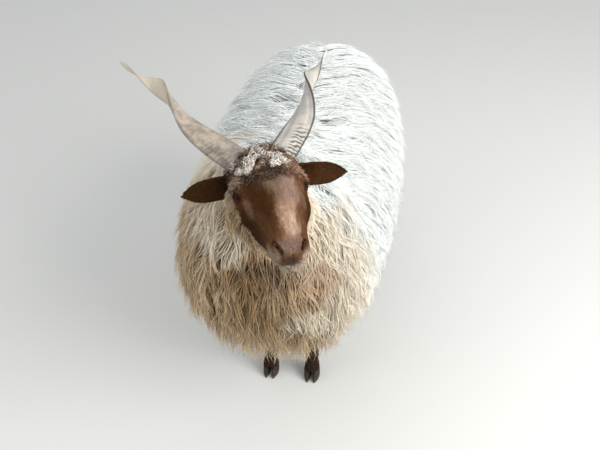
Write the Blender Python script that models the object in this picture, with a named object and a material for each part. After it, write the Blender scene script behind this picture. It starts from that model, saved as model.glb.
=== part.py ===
"""A racka ewe, life size, standing with her head raised: a still model in named solids.

The sheep faces -Y, her left side is +X, and she stands on z = 0. Every length is in metres.
Places are given from the ground point under her withers line; the empty racka_sheep then sets her on the origin.
"""

import math

import bmesh
import bpy
import numpy as np
from mathutils import Matrix, Vector

GAP = 0.0003
STAND_AT = (0.009, 0.048, 0.0)

# The head frame: its origin is the poll, -Y runs down the face to the nose, +Z leaves the forehead.
POLL = (0.024, -0.408, 0.829)
HEAD_TURN = math.radians(23.0)
HEAD_NOD = math.radians(-8.5)
HEAD_BACK = 0.035

# Face stations: distance from the poll to the nose, top, bottom, half width, jaw narrowing.
FACE_STATIONS = (
    (-0.035, -0.012, -0.104, 0.050, 0.10),
    (0.000, 0.002, -0.122, 0.058, 0.20),
    (0.035, 0.008, -0.134, 0.063, 0.24),
    (0.072, 0.006, -0.133, 0.064, 0.26),
    (0.105, 0.001, -0.123, 0.059, 0.26),
    (0.138, -0.005, -0.111, 0.052, 0.22),
    (0.168, -0.010, -0.103, 0.0440, 0.20),
    (0.196, -0.015, -0.100, 0.0375, 0.16),
    (0.219, -0.021, -0.099, 0.0340, 0.12),
    (0.237, -0.030, -0.094, 0.0285, 0.08),
    (0.247, -0.042, -0.082, 0.0150, 0.00),
)
FACE_FULLNESS = 2.5
EYE_AT = (0.0505, -0.083, -0.028)
EYE_RADIUS = 0.0135
EYE_OPENING = (0.0115, 0.0062)
ORBIT_RADIUS = 0.0170
NOSTRIL_AT = (0.0150, -0.240, -0.046)
MOUTH_LEVEL = -0.0700
MOUTH_CORNER = 0.185
MOUTH_GAP = 0.0016

EAR_ROOT = (0.060, -0.021, -0.036)
EAR_LENGTH = 0.100
EAR_WIDTH = 0.047
EAR_THICKNESS = 0.003
EAR_STUB = 0.008

HORN_ROOT = (0.038, 0.010, -0.008)
HORN_RISE = math.radians(29.5)
HORN_SPREAD = {"left": math.radians(31.5), "right": math.radians(32.0)}
HORN_LENGTH = {"left": 0.288, "right": 0.351}
HORN_WIDTH = 0.050
HORN_THICKNESS = 0.028
HORN_PHASE = math.radians(37.0)
HORN_TURNS = 1.0
HORN_TIGHTENING = 2.0
HORN_WINDING = 0.26
HORN_STUB = 0.004
HORN_RINGS = 19
HORN_AROUND = 10

# Body stations from behind the head to the rump, as the surface through the tips of the fleece:
# top y, top z, bottom y, bottom z, half width, share of the head's turn, sideways shift,
# and the depth of the locks over the core at the top, at the sides and underneath.
BODY_STATIONS = (
    (-0.312, 0.812, -0.452, 0.590, 0.138, 0.55, 0.012, 0.022, 0.040, 0.045),
    (-0.268, 0.768, -0.468, 0.430, 0.190, 0.20, 0.003, 0.026, 0.048, 0.065),
    (-0.230, 0.728, -0.395, 0.270, 0.228, 0.00, 0.000, 0.028, 0.050, 0.070),
    (-0.120, 0.716, -0.235, 0.228, 0.254, 0.00, 0.002, 0.028, 0.050, 0.070),
    (0.030, 0.706, -0.045, 0.215, 0.268, 0.00, 0.006, 0.028, 0.052, 0.070),
    (0.190, 0.714, 0.150, 0.220, 0.266, 0.00, 0.010, 0.028, 0.052, 0.070),
    (0.340, 0.716, 0.315, 0.250, 0.242, 0.00, 0.014, 0.028, 0.050, 0.070),
    (0.440, 0.684, 0.430, 0.320, 0.188, 0.00, 0.017, 0.028, 0.042, 0.065),
    (0.488, 0.608, 0.485, 0.430, 0.092, 0.00, 0.018, 0.034, 0.026, 0.060),
)
THROAT_HALF_WIDTH = 0.074
THROAT_TOP = 0.004
THROAT_BOTTOM = -0.124
THROAT_DEPTH = (0.010, 0.014, 0.014)
NECK_BASE = 3
BACK_FULLNESS = 2.2
SKIRT_FULLNESS = 2.7

# A lock's section is a flat, ridged triangle. Its marks are the shares of its length that have a section.
LOCK_MARKS = (0.0, 0.30, 0.57, 0.82)
LOCK_WIDTH = 0.096
LOCK_THICKNESS = 0.024
LOCK_LENGTH = 0.200
LOCK_WAVE = 0.010
LOCK_STEPS = 24
LOCK_SUNK = 0.40
LOCK_TOP_RISE = 0.82
# Rows of roots on the torso: angle from the spine and how many on each side. The first row crosses the spine.
TORSO_ROWS = ((-20.0, 5), (24.0, 9), (50.0, 9), (76.0, 9), (102.0, 9))
# Rings of roots on the neck: place along the body and how many round it.
NECK_ROWS = ((0.12, 7), (0.75, 8), (1.5, 9), (2.3, 11))
# Rows of locks down the tail: share of its length, reach and length, and the angles that they grow at.
TAIL_ROWS = ((0.10, 0.014, 0.17), (0.34, 0.017, 0.16), (0.58, 0.014, 0.14))
TAIL_LOCK_ANGLES = (44.0, 90.0, 136.0)
TAIL_LOCK_WIDTH = 0.052

# Leg stations from the top down: z, y from the leg's own line, x inwards, half width, half depth.
FORELEG_STATIONS = (
    (0.300, 0.000, 0.000, 0.026, 0.034),
    (0.245, 0.000, 0.002, 0.022, 0.027),
    (0.205, -0.002, 0.004, 0.0205, 0.024),
    (0.180, -0.002, 0.005, 0.0195, 0.022),
    (0.150, 0.002, 0.006, 0.0145, 0.017),
    (0.112, 0.003, 0.007, 0.0135, 0.016),
    (0.084, 0.002, 0.008, 0.0165, 0.020),
    (0.062, -0.004, 0.008, 0.0155, 0.018),
    (0.0363, -0.014, 0.008, 0.0185, 0.022),
)
HINDLEG_STATIONS = (
    (0.330, -0.015, -0.002, 0.034, 0.056),
    (0.290, 0.005, 0.000, 0.027, 0.043),
    (0.250, 0.040, 0.003, 0.0195, 0.029),
    (0.226, 0.058, 0.004, 0.0185, 0.026),
    (0.200, 0.053, 0.005, 0.0185, 0.024),
    (0.160, 0.041, 0.006, 0.0150, 0.0185),
    (0.112, 0.029, 0.007, 0.0145, 0.0175),
    (0.084, 0.023, 0.008, 0.0170, 0.021),
    (0.062, 0.014, 0.008, 0.0160, 0.019),
    (0.0363, 0.003, 0.008, 0.0185, 0.022),
)
FORELEG_AT = (0.066, -0.216)
HINDLEG_AT = (0.100, 0.300)
LEG_RINGS = 11
LEG_AROUND = 10
DEWCLAW_RADIUS = 0.008
CLAW_HEIGHT = 0.036
CLAW_LENGTH = 0.060
CLAW_HALF_WIDTH = 0.0125
CLAW_SPLAY = 0.0095

# Tail stations: y, z, half width, half depth.
TAIL_STATIONS = (
    (0.472, 0.592, 0.024, 0.016),
    (0.494, 0.556, 0.033, 0.018),
    (0.508, 0.500, 0.037, 0.018),
    (0.513, 0.430, 0.036, 0.018),
    (0.512, 0.360, 0.030, 0.016),
    (0.510, 0.300, 0.020, 0.011),
    (0.509, 0.262, 0.006, 0.005),
)
TAIL_SUNK = 0.05
# Room round the tail for its locks: at the sides, ahead and behind.
TAIL_ROOM = (0.046, 0.014, 0.070)

# Rows of curls on the poll: distance ahead of the poll, how many, and the widest angle from the middle.
POLL_ROWS = ((-0.012, 2, 13.0), (0.012, 3, 22.0), (0.032, 4, 48.0), (0.052, 5, 56.0), (0.070, 4, 42.0))
CURL_RADIUS = 0.0180
CURL_PROFILE = ((-0.70, 0.75), (-0.05, 1.0), (0.52, 0.85), (0.86, 0.50))

FLEECE_COLOUR = (0.86, 0.82, 0.72)
FACE_COLOUR = (0.29, 0.13, 0.07)
EAR_COLOUR = (0.10, 0.055, 0.035)
LEG_COLOUR = (0.085, 0.05, 0.035)
HORN_COLOUR = (0.50, 0.43, 0.35)
CLAW_COLOUR = (0.05, 0.04, 0.035)
EYE_COLOUR = (0.06, 0.035, 0.02)


def clear_scene():
    for thing in list(bpy.data.objects):
        bpy.data.objects.remove(thing)


def finish_of(name, colour, roughness):
    material = bpy.data.materials.new(name)
    material.use_nodes = True
    shader = material.node_tree.nodes["Principled BSDF"]
    shader.inputs["Base Color"].default_value = (*colour, 1.0)
    shader.inputs["Roughness"].default_value = roughness
    shader.inputs["Metallic"].default_value = 0.0
    return material


def add_empty(name, matrix, parent=None):
    empty = bpy.data.objects.new(name, None)
    bpy.context.scene.collection.objects.link(empty)
    empty.parent = parent
    empty.matrix_local = matrix
    return empty


def add_mesh(name, bm, finish, parent=None):
    """Puts a bmesh into the scene as one smooth object."""
    bmesh.ops.recalc_face_normals(bm, faces=bm.faces)
    mesh = bpy.data.meshes.new(name)
    bm.to_mesh(mesh)
    bm.free()
    mesh.materials.append(finish)
    mesh.shade_smooth()
    made = bpy.data.objects.new(name, mesh)
    bpy.context.scene.collection.objects.link(made)
    made.parent = parent
    return made


def through(rows, at):
    """Points of the smooth curve that passes row i at the parameter i."""
    rows = np.asarray(rows, float)
    at = np.clip(np.asarray(at, float), 0, len(rows) - 1)
    slope = np.gradient(rows, axis=0)
    low = np.minimum(at.astype(int), len(rows) - 2)
    t = (at - low)[..., None]
    start = rows[low] * (2 * t**3 - 3 * t**2 + 1) + slope[low] * (t**3 - 2 * t**2 + t)
    end = rows[low + 1] * (3 * t**2 - 2 * t**3) + slope[low + 1] * (t**3 - t**2)
    return start + end


def unit(vectors):
    return vectors / np.maximum(np.linalg.norm(vectors, axis=-1, keepdims=True), 1e-12)


def rounded(angle, upper, lower):
    """Up and side shares of a superellipse: a fullness of 2 is an ellipse, and a larger one is squarer."""
    up, side = np.cos(angle), np.sin(angle)
    power = 2.0 / np.where(up > 0, upper, lower)
    return np.sign(up) * np.abs(up) ** power, np.sign(side) * np.abs(side) ** power


def loft(name, rings, finish, parent=None, tip=None):
    """A closed skin of triangles over rings of points, flat across its first ring and its last, unless it has a tip."""
    bm = bmesh.new()
    rows = [[bm.verts.new(point) for point in ring] for ring in rings]
    around = len(rows[0])
    for low, high in zip(rows, rows[1:]):
        for i in range(around):
            j = (i + 1) % around
            bm.faces.new((low[i], low[j], high[j]))
            bm.faces.new((low[i], high[j], high[i]))
    bm.faces.new(rows[0])
    if tip is None:
        bm.faces.new(rows[-1])
    else:
        point = bm.verts.new(tip)
        for i in range(around):
            bm.faces.new((rows[-1][i], rows[-1][(i + 1) % around], point))
    return add_mesh(name, bm, finish, parent)


def ball(name, centre, radii, finish, parent=None, turn=None, rings=8, segments=12):
    bm = bmesh.new()
    place = Matrix.Translation(centre) @ (turn or Matrix()) @ Matrix.Diagonal((*radii, 1.0))
    bmesh.ops.create_uvsphere(bm, u_segments=segments, v_segments=rings, radius=1.0, matrix=place)
    return add_mesh(name, bm, finish, parent)


def apply_modifiers(thing):
    """Keeps what the modifiers make as the object's own mesh."""
    graph = bpy.context.evaluated_depsgraph_get()
    made = bpy.data.meshes.new_from_object(thing.evaluated_get(graph), depsgraph=graph)
    thing.modifiers.clear()
    finish = thing.data.materials[0]
    thing.data = made
    made.materials.clear()
    made.materials.append(finish)
    made.polygons.foreach_set("material_index", [0] * len(made.polygons))


def keep_largest(thing):
    """Leaves only the closed surface with the most faces."""
    bm = bmesh.new()
    bm.from_mesh(thing.data)
    left, islands = set(bm.faces), []
    while left:
        island, edge = set(), [left.pop()]
        while edge:
            face = edge.pop()
            island.add(face)
            near = {f for e in face.edges for f in e.link_faces if f in left}
            left -= near
            edge.extend(near)
        islands.append(island)
    islands.sort(key=len)
    loose = [face for island in islands[:-1] for face in island]
    bmesh.ops.delete(bm, geom=loose, context="FACES")
    bm.to_mesh(thing.data)
    bm.free()


def combine(thing, others, operation):
    """One Boolean of an object with a collection of closed ones, which are then removed."""
    group = bpy.data.collections.new(thing.name + "_others")
    bpy.context.scene.collection.children.link(group)
    for other in others:
        for holder in list(other.users_collection):
            holder.objects.unlink(other)
        group.objects.link(other)
    boolean = thing.modifiers.new("Boolean", "BOOLEAN")
    boolean.operation = operation
    boolean.operand_type = "COLLECTION"
    boolean.collection = group
    boolean.solver = "MANIFOLD"
    apply_modifiers(thing)
    for other in others:
        bpy.data.objects.remove(other)
    bpy.data.collections.remove(group)
    keep_largest(thing)


def head_matrix():
    turn = Matrix.Rotation(HEAD_TURN, 4, "Z") @ Matrix.Rotation(HEAD_NOD, 4, "X")
    return Matrix.Translation(POLL) @ turn


def body_frames():
    """Top point, bottom point and side vector of each ring, for the tips of the fleece and for its core."""
    head = head_matrix()
    top = np.array(head @ Vector((0, HEAD_BACK, THROAT_TOP)))
    bottom = np.array(head @ Vector((0, HEAD_BACK, THROAT_BOTTOM)))
    side = np.array(head.to_3x3() @ Vector((1, 0, 0)))
    rows = [(top, bottom, side, THROAT_HALF_WIDTH, THROAT_DEPTH)]
    for top_y, top_z, bottom_y, bottom_z, half_width, share, shift, *depth in BODY_STATIONS:
        turn = HEAD_TURN * share
        side = np.array((math.cos(turn), math.sin(turn), 0.0))
        rows.append((np.array((shift, top_y, top_z)), np.array((shift, bottom_y, bottom_z)), side, half_width, depth))
    tips, core = [], []
    for top, bottom, side, half_width, depth in rows:
        down = unit(bottom - top)
        tips.append(np.concatenate([top, bottom, side * half_width]))
        drawn_in = [top + down * depth[0], bottom - down * depth[2], side * (half_width - depth[1])]
        core.append(np.concatenate(drawn_in))
    return np.array(tips), np.array(core)


TIP_FRAMES, CORE_FRAMES = body_frames()
BODY_END = len(TIP_FRAMES) - 1


def fleece_point(s, angle, rise):
    """Points at ring s and an angle from the spine, from the core (rise 0) to the tips of the fleece (rise 1)."""
    core, tips = through(CORE_FRAMES, s), through(TIP_FRAMES, s)
    frame = core + (tips - core) * np.asarray(rise)[..., None]
    top, bottom, side = frame[..., 0:3], frame[..., 3:6], frame[..., 6:9]
    up_share, side_share = rounded(angle, BACK_FULLNESS, SKIRT_FULLNESS)
    centre, up = (top + bottom) / 2, (top - bottom) / 2
    return centre + up * up_share[..., None] + side * side_share[..., None]


def fleece_slopes(s, angle, rise):
    """How a fleece point moves along s and along the angle, and the outward normal there."""
    small = 0.01
    low, high = np.clip(s - small, 0, BODY_END), np.clip(s + small, 0, BODY_END)
    along = (fleece_point(high, angle, rise) - fleece_point(low, angle, rise)) / (high - low)[..., None]
    round_ = (fleece_point(s, angle + small, rise) - fleece_point(s, angle - small, rise)) / (2 * small)
    return along, round_, unit(np.cross(round_, along))


def ring_plane(s):
    """A point on the flat ring at s and its backward normal."""
    frame = through(TIP_FRAMES, s)
    normal = np.cross(frame[6:9], frame[0:3] - frame[3:6])
    return frame[0:3], -unit(normal)


def core_rings(first, last, count, around):
    """Evenly spaced flat rings of the core, drawn in by half the gap at both ends."""
    angles = np.linspace(0, 2 * math.pi, around, endpoint=False)
    rise = np.zeros(around)
    rings = np.array([fleece_point(np.full(around, s), angles, rise) for s in np.linspace(first, last, count)])
    rings[0] += ring_plane(first)[1] * GAP / 2
    rings[-1] -= ring_plane(last)[1] * GAP / 2
    return rings


def lock_rise(share):
    """Height of a lock over the core along its length: sunk at the root, then out, and level near its tip."""
    return min((1 + LOCK_SUNK) * share**0.85 - LOCK_SUNK, LOCK_TOP_RISE)


def lock_lines(roots, length, fall_of):
    """Centre lines and outward directions of locks: down the fleece, and straight down where it turns under.

    A line starts at its root (place along the body, angle from the spine, side that it falls to) and follows
    the part of the fall direction that lies in the surface.
    """
    s, angle, side = roots.T.copy()
    step = length / LOCK_STEPS
    free = np.zeros(len(s), bool)
    points, outs = [], []
    heading = np.zeros((len(s), 3))
    for k in range(LOCK_STEPS + 1):
        share = k / LOCK_STEPS
        rise = np.full(len(s), lock_rise(share))
        along, around, out = fleece_slopes(s, angle, rise)
        on = fleece_point(s, angle, rise)
        fall = fall_of(s, side, out)
        if k:
            on = np.where(free[:, None], points[-1] + heading * step[:, None], on)
            out = np.where(free[:, None], outs[-1], out)
        points.append(on)
        outs.append(out)
        flat = unit(fall - out * np.sum(fall * out, axis=1, keepdims=True))
        heading = np.where(free[:, None], unit(heading * 1.5 + fall), flat)
        aa, ab, bb = np.sum(along * along, 1), np.sum(along * around, 1), np.sum(around * around, 1)
        fa, fb = np.sum(flat * along, 1), np.sum(flat * around, 1)
        scale = step / np.maximum(aa * bb - ab * ab, 1e-9)
        ds, da = (fa * bb - fb * ab) * scale, (fb * aa - fa * ab) * scale
        free |= (out[:, 2] < -0.25) | (s + ds > BODY_END)
        s = np.where(free, s, np.clip(s + ds, 0, BODY_END))
        angle = np.where(free, angle, angle + da)
    return np.array(points).swapaxes(0, 1), np.array(outs).swapaxes(0, 1)


def lock_sections(lines, outs, widths, waves, thinness=1.0):
    """Ridged sections and the tip of each lock: broad a third of the way down, and thinner to its point."""
    shares = np.array([*LOCK_MARKS, 1.0])
    at = shares * LOCK_STEPS
    low = np.minimum(at.astype(int), LOCK_STEPS - 1)
    part = (at - low)[None, :, None]
    centre = lines[:, low] * (1 - part) + lines[:, low + 1] * part
    out = outs[:, low] * (1 - part) + outs[:, low + 1] * part
    heading = unit(np.gradient(centre, axis=1))
    out = unit(out - heading * np.sum(out * heading, axis=2, keepdims=True))
    across = np.cross(heading, out)
    sway = np.sin(2 * math.pi * (shares[None] * 1.1 + waves[:, None])) * LOCK_WAVE * shares[None]
    centre = centre + across * sway[..., None]
    broad = (0.60 + 0.40 * np.sin(math.pi * np.minimum(shares / 0.6, 1))) * (1 - shares**2.6)
    half = (widths[:, None] * broad[None] / 2)[..., None]
    thick = (LOCK_THICKNESS * thinness * (1 - 0.6 * shares[None]))[..., None]
    sections = np.stack([centre + across * half, centre + out * thick, centre - across * half], axis=2)
    return sections[:, :-1], centre[:, -1]


def kept_clear(points, plane, way):
    """Bends points that near a plane back to their own side of it, gently and never onto each other."""
    origin, normal = plane
    softness = 0.006
    reach = way * ((points - origin) @ normal) - GAP
    bent = GAP + softness * np.logaddexp(0, reach / softness)
    return points + normal * (way * (bent - GAP - reach))[..., None]


def add_locks(roots, lengths, widths, waves, fall_of, plane, way, finish, root):
    lines, outs = lock_lines(roots, lengths, fall_of)
    sections, tips = lock_sections(lines, outs, widths, waves)
    sections, tips = kept_clear(sections, plane, way), kept_clear(tips, plane, way)
    return [loft("lock", rings, finish, root, tip) for rings, tip in zip(sections, tips)]


def torso_fall(s, side, out):
    """The way the torso's wool falls: apart from the spine, down and a little back."""
    near_neck = np.clip(1 - (s - NECK_BASE) / 1.2, 0, 1)
    parted = 0.9 * side * np.clip(out[:, 2], 0, 1)
    back = 0.22 * np.clip(out[:, 2], 0, 1) * (1 - near_neck) - 0.36 * near_neck
    return unit(np.stack([parted, back, np.full(len(s), -1.0)], axis=1))


def neck_fall(s, side, out):
    """The way the neck's wool falls: down to both sides of the nape, and forward of the shoulder."""
    near_base = np.clip(s - 1.2, 0, 1)
    parted = 0.8 * side * np.clip(out[:, 2], 0, 1)
    return unit(np.stack([parted, -0.10 - 0.26 * near_base, np.full(len(s), -1.0)], axis=1))


def torso_roots(rng):
    """Rows of lock roots down both sides, each row set half a lock on from the one above."""
    roots = []
    for row, (degrees, count) in enumerate(TORSO_ROWS):
        for column in range(count):
            for side in (-1, 1):
                shift = 0.5 * (row % 2) if row else 0.25 * (1 + side)
                share = (column + shift + 0.25) / (count - 0.25)
                s = NECK_BASE + 0.15 + (BODY_END - NECK_BASE - 0.50) * share**0.94
                jitter = rng.uniform(-1, 1, 2)
                roots.append((s + 0.10 * jitter[0], side * math.radians(degrees + 4.0 * jitter[1]), side))
    return np.array(roots)


def neck_roots(rng):
    """Rings of lock roots round the neck and breast, without those that would face the ground."""
    roots = []
    for row, (s, count) in enumerate(NECK_ROWS):
        for k in range(count):
            angle = 2 * math.pi * (k + 0.5 * (row % 2) + 0.25) / count
            jitter = rng.uniform(-1, 1, 2)
            angle = math.remainder(angle, 2 * math.pi)
            roots.append((s + 0.10 * jitter[0], angle + 0.06 * jitter[1], math.copysign(1, angle)))
    roots = np.array(roots)
    out = fleece_slopes(roots[:, 0], roots[:, 1], np.zeros(len(roots)))[2]
    return roots[out[:, 2] > -0.62]


def head_section(station, angle):
    """A face point at a station and angle: the lower half narrows towards the jaw."""
    ahead, top, bottom, half_width, jaw = station
    up, side = rounded(angle, FACE_FULLNESS, FACE_FULLNESS)
    width = half_width * (1 - jaw * np.clip(-up, 0, 1) ** 0.8)
    point = np.empty((*np.shape(angle), 3))
    point[..., 0] = side * width
    point[..., 1] = -ahead
    point[..., 2] = (top + bottom) / 2 + up * (top - bottom) / 2
    return point


def bulge(points, centre, radius, amount):
    """Moves points away from the head's axis near a place, fading as a bell curve."""
    middle = np.zeros_like(points)
    middle[:, 1] = points[:, 1]
    middle[:, 2] = -0.055
    outward = unit(points - middle)
    distance = np.linalg.norm((points - centre) / radius, axis=1)
    return points + outward * (amount * np.exp(-(distance**2)))[:, None]


def head_rings(count, around, grow=0.0):
    angle = np.linspace(0, 2 * math.pi, around, endpoint=False)
    stations = through(FACE_STATIONS, np.linspace(0, len(FACE_STATIONS) - 1, count))
    rings = np.array([head_section(station, angle) for station in stations])
    shape = rings.shape
    points = rings.reshape(-1, 3)
    for side in (-1, 1):
        points = bulge(points, (side * 0.060, -0.080, -0.020), (0.020, 0.024, 0.018), 0.0050)
        points = bulge(points, (side * 0.050, -0.100, -0.062), (0.020, 0.035, 0.016), 0.0030)
        points = bulge(points, (side * 0.018, -0.236, -0.050), (0.012, 0.014, 0.012), 0.0025)
        points = bulge(points, (side * 0.022, -0.222, -0.076), (0.016, 0.020, 0.009), 0.0018)
        points = bulge(points, (side * 0.030, -0.140, -0.012), (0.012, 0.050, 0.012), 0.0020)
    middle = np.stack([np.zeros(len(points)), points[:, 1] * 0.95, np.full(len(points), -0.055)], axis=1)
    points = points + unit(points - middle) * grow
    rings = points.reshape(shape)
    rings[0, :, 1] = HEAD_BACK - GAP / 2 + grow / 2
    return rings


def poll_curls(finish, frame, grow=0.0):
    """Rounded clumps of curly wool between and in front of the horns, set close in rows."""
    rng = np.random.default_rng(11)
    curls = []
    ahead_of = [station[0] for station in FACE_STATIONS]
    for ahead, count, widest in POLL_ROWS:
        at = np.interp(ahead, ahead_of, np.arange(len(ahead_of)))
        station = through(FACE_STATIONS, at)
        for degrees in np.linspace(-widest, widest, count):
            jitter = rng.uniform(-1, 1, 4)
            place = head_section(station, np.array(math.radians(degrees + 4 * jitter[0])))
            place[1] += 0.003 * jitter[1]
            out = place - np.array((0.02 * jitter[2], place[1] + 0.02 * jitter[3], -0.075))
            out = unit(out)
            along = unit(np.cross(out, (math.cos(jitter[3] * 3), math.sin(jitter[3] * 3), 0)))
            across = np.cross(out, along)
            size = CURL_RADIUS * (1 + 0.14 * jitter[2]) + grow
            turn = np.linspace(0, 2 * math.pi, 8, endpoint=False)[:, None]
            rings = [
                place + out * size * height + (along * np.cos(turn) + across * np.sin(turn) * 0.85) * size * wide
                for height, wide in CURL_PROFILE
            ]
            curls.append(loft("curl", rings, finish, frame, place + out * size))
    return curls


def leg_rings(stations, at, side, grow=0.0):
    """Elliptical rings down a leg, whose foot stands a little further in than its top."""
    rows = through(stations, np.linspace(0, len(stations) - 1, LEG_RINGS))
    angle = np.linspace(0, 2 * math.pi, LEG_AROUND, endpoint=False)
    rings = np.empty((LEG_RINGS, LEG_AROUND, 3))
    rings[:, :, 0] = side * (at[0] - rows[:, 2:3]) + (rows[:, 3:4] + grow) * np.cos(angle)
    rings[:, :, 1] = at[1] + rows[:, 1:2] + (rows[:, 4:5] + grow) * np.sin(angle)
    rings[:, :, 2] = rows[:, 0:1]
    rings[0, :, 2] += grow
    return rings


def foot_centre(stations, at, side):
    last = stations[-1]
    return side * (at[0] - last[2]), at[1] + last[1]


def make_leg(name, stations, at, side, finish, root):
    leg = loft(name, leg_rings(stations, at, side), finish, root)
    foot_x, foot_y = foot_centre(stations, at, side)
    radii = (DEWCLAW_RADIUS * 0.8, DEWCLAW_RADIUS, DEWCLAW_RADIUS * 1.1)
    dewclaws = [
        ball("dewclaw", (foot_x + way * 0.010, foot_y + 0.030, 0.066), radii, finish, root, rings=5, segments=6)
        for way in (-1, 1)
    ]
    combine(leg, dewclaws, "UNION")
    return leg


def make_upper_leg(stations, at, side, top, finish, root):
    """The stub of the leg inside the fleece, from the leg's top up into the body."""
    first = stations[0]
    angle = np.linspace(0, 2 * math.pi, LEG_AROUND, endpoint=False)
    rings = []
    for z, grow in ((first[0] + GAP, 1.0), ((first[0] + top) / 2, 1.25), (top, 1.5)):
        x = side * (at[0] - first[2]) + first[3] * grow * np.cos(angle)
        y = at[1] + first[1] + first[4] * grow * np.sin(angle)
        rings.append(np.stack([x, y, np.full(LEG_AROUND, z)], axis=1))
    return loft("upper_leg", np.array(rings), finish, root)


def leg_room(stations, at, side, finish, root):
    """The space that a leg takes in the fleece, one gap larger than the leg all round."""
    return loft("leg_room", leg_rings(stations, at, side, GAP), finish, root)


def make_claw(name, foot_x, foot_y, way, finish, root):
    """One half of a cloven hoof: a wedge with a flat sole, pointed ahead and upright on its inner side."""
    around = 10
    angle = np.linspace(0, 2 * math.pi, around, endpoint=False)
    rings = []
    for z, scale, back in ((0.0, 0.97, 0.0), (0.016, 0.94, 0.005), (CLAW_HEIGHT, 0.74, 0.013)):
        y = -np.cos(angle) * CLAW_LENGTH / 2 * scale
        pinch = 1 - 0.55 * np.clip(np.cos(angle), 0, 1) ** 2
        x = np.sin(angle) * CLAW_HALF_WIDTH * pinch
        x = np.where(x * way < 0, x * 0.62, x)
        ring = np.stack([foot_x + way * CLAW_SPLAY + x, foot_y - 0.004 + back + y, np.full(around, z)], axis=1)
        rings.append(ring)
    return loft(name, np.array(rings), finish, root)


def horn_axis(side_name):
    """Unit direction of a horn in the head frame."""
    spread, side = HORN_SPREAD[side_name], 1 if side_name == "left" else -1
    along = math.cos(spread)
    return Vector((side * math.sin(spread), along * math.cos(HORN_RISE), along * math.sin(HORN_RISE)))


def horn_rings(side_name, start, count, grow=0.0):
    """A keeled, flattened section that shrinks and turns about the horn's line, which it winds round."""
    side = 1 if side_name == "left" else -1
    length = HORN_LENGTH[side_name]
    axis = horn_axis(side_name)
    inward = Vector((0, 0, side)).cross(axis).normalized()
    upward = axis.cross(inward) * side
    angle = np.linspace(0, 2 * math.pi, HORN_AROUND, endpoint=False)
    rings = []
    for t in np.linspace(0, 1, count):
        taper = 0.04 + 0.96 * (1 - t**2.4) ** 0.9
        turn = HORN_PHASE - 2 * math.pi * HORN_TURNS * t**HORN_TIGHTENING
        wide = HORN_WIDTH / 2 * taper
        thick = HORN_THICKNESS / 2 * (0.45 + 0.55 * (1 - t)) * taper
        keel = np.abs(np.cos(angle)) ** 3
        flat_x = np.cos(angle) * wide * (0.86 + 0.14 * keel) + grow * np.cos(angle)
        flat_y = np.sin(angle) * thick + grow * np.sin(angle)
        winding = HORN_WINDING * HORN_WIDTH * taper * min(1.0, 3 * t)
        x = flat_x * math.cos(turn) - flat_y * math.sin(turn) - winding * math.cos(turn)
        y = flat_x * math.sin(turn) + flat_y * math.cos(turn) - winding * math.sin(turn)
        centre = Vector((side * HORN_ROOT[0], HORN_ROOT[1], HORN_ROOT[2])) + axis * (start + (length - start) * t)
        rings.append([centre + inward * a + upward * b for a, b in zip(x, y)])
    return np.array(rings)


def horn_stub(side_name, finish, frame, grow=0.0):
    """The bony peg in the skull that carries a horn, flat where the horn sits on it."""
    ring = horn_rings(side_name, HORN_STUB - GAP + grow, 2, grow)[0]
    middle = ring.mean(axis=0)
    sunk = middle + (ring - middle) * 0.8 - np.array(horn_axis(side_name)) * 0.040
    return loft("horn_stub", np.array([ring, sunk]), finish, frame)


def horn_room(side_name, finish, frame):
    """The space that a horn takes, one gap larger than the horn all round."""
    return loft("horn_room", horn_rings(side_name, HORN_STUB - GAP, HORN_RINGS, GAP), finish, frame)


def ear_rings(side, count, around):
    """A leaf rolled into a cup: each section is a crescent, open ahead, whose span closes to a tube at the root."""
    out = Vector((side * math.cos(math.radians(8)), 0.16, -0.20)).normalized()
    ahead = Vector((0, -1, 0))
    ahead = (ahead - out * ahead.dot(out)).normalized()
    up = out.cross(ahead) * side
    if up.z < 0:
        up = -up
    half = around // 2
    rings = []
    for t in np.linspace(0, 1, count):
        width = EAR_WIDTH / 2 * (0.42 + 0.58 * math.sin(math.pi * min(1.0, 0.10 + t * 0.94)) ** 0.7) * (1 - t**6 * 0.86)
        width = max(width, 0.003)
        span = math.radians(118 - 78 * min(1.0, t * 2.2))
        radius = width / math.sin(min(span, math.pi / 2))
        thick = EAR_THICKNESS * (1.3 - 0.7 * t)
        sweep = np.linspace(-span, span, half)
        outer = [(radius * math.sin(a), radius * (math.cos(span) - math.cos(a))) for a in sweep]
        inner = [
            ((radius - thick) * math.sin(a), radius * math.cos(span) - (radius - thick) * math.cos(a))
            for a in sweep[::-1]
        ]
        root = Vector((side * EAR_ROOT[0], EAR_ROOT[1], EAR_ROOT[2]))
        centre = root + out * (EAR_STUB + (EAR_LENGTH - EAR_STUB) * t)
        rings.append([centre + up * a + ahead * b for a, b in outer + inner])
    return np.array(rings), out, ahead, up


def ear_room(side, finish, frame):
    """The space of an ear and its cup: a plain oval case round its sections."""
    rings, out, ahead, up = ear_rings(side, 8, 14)
    angle = np.linspace(0, 2 * math.pi, 12, endpoint=False)[:, None]
    case = []
    for ring in rings:
        across, depth = ring @ np.array(up), ring @ np.array(ahead)
        wide = (across.max() - across.min()) * 0.58 + 2 * GAP
        deep = (depth.max() - depth.min()) * 0.65 + 4 * GAP
        middle = ring.mean(axis=0)
        middle = middle + np.array(up) * ((across.max() + across.min()) / 2 - middle @ np.array(up))
        middle = middle + np.array(ahead) * ((depth.max() + depth.min()) / 2 - middle @ np.array(ahead))
        case.append(middle + np.array(up) * wide * np.cos(angle) + np.array(ahead) * deep * np.sin(angle))
    case[0] = case[0] - np.array(out) * EAR_STUB / 2
    case[-1] = case[-1] + np.array(out) * 4 * GAP
    return loft("ear_room", np.array(case), finish, frame)


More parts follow.
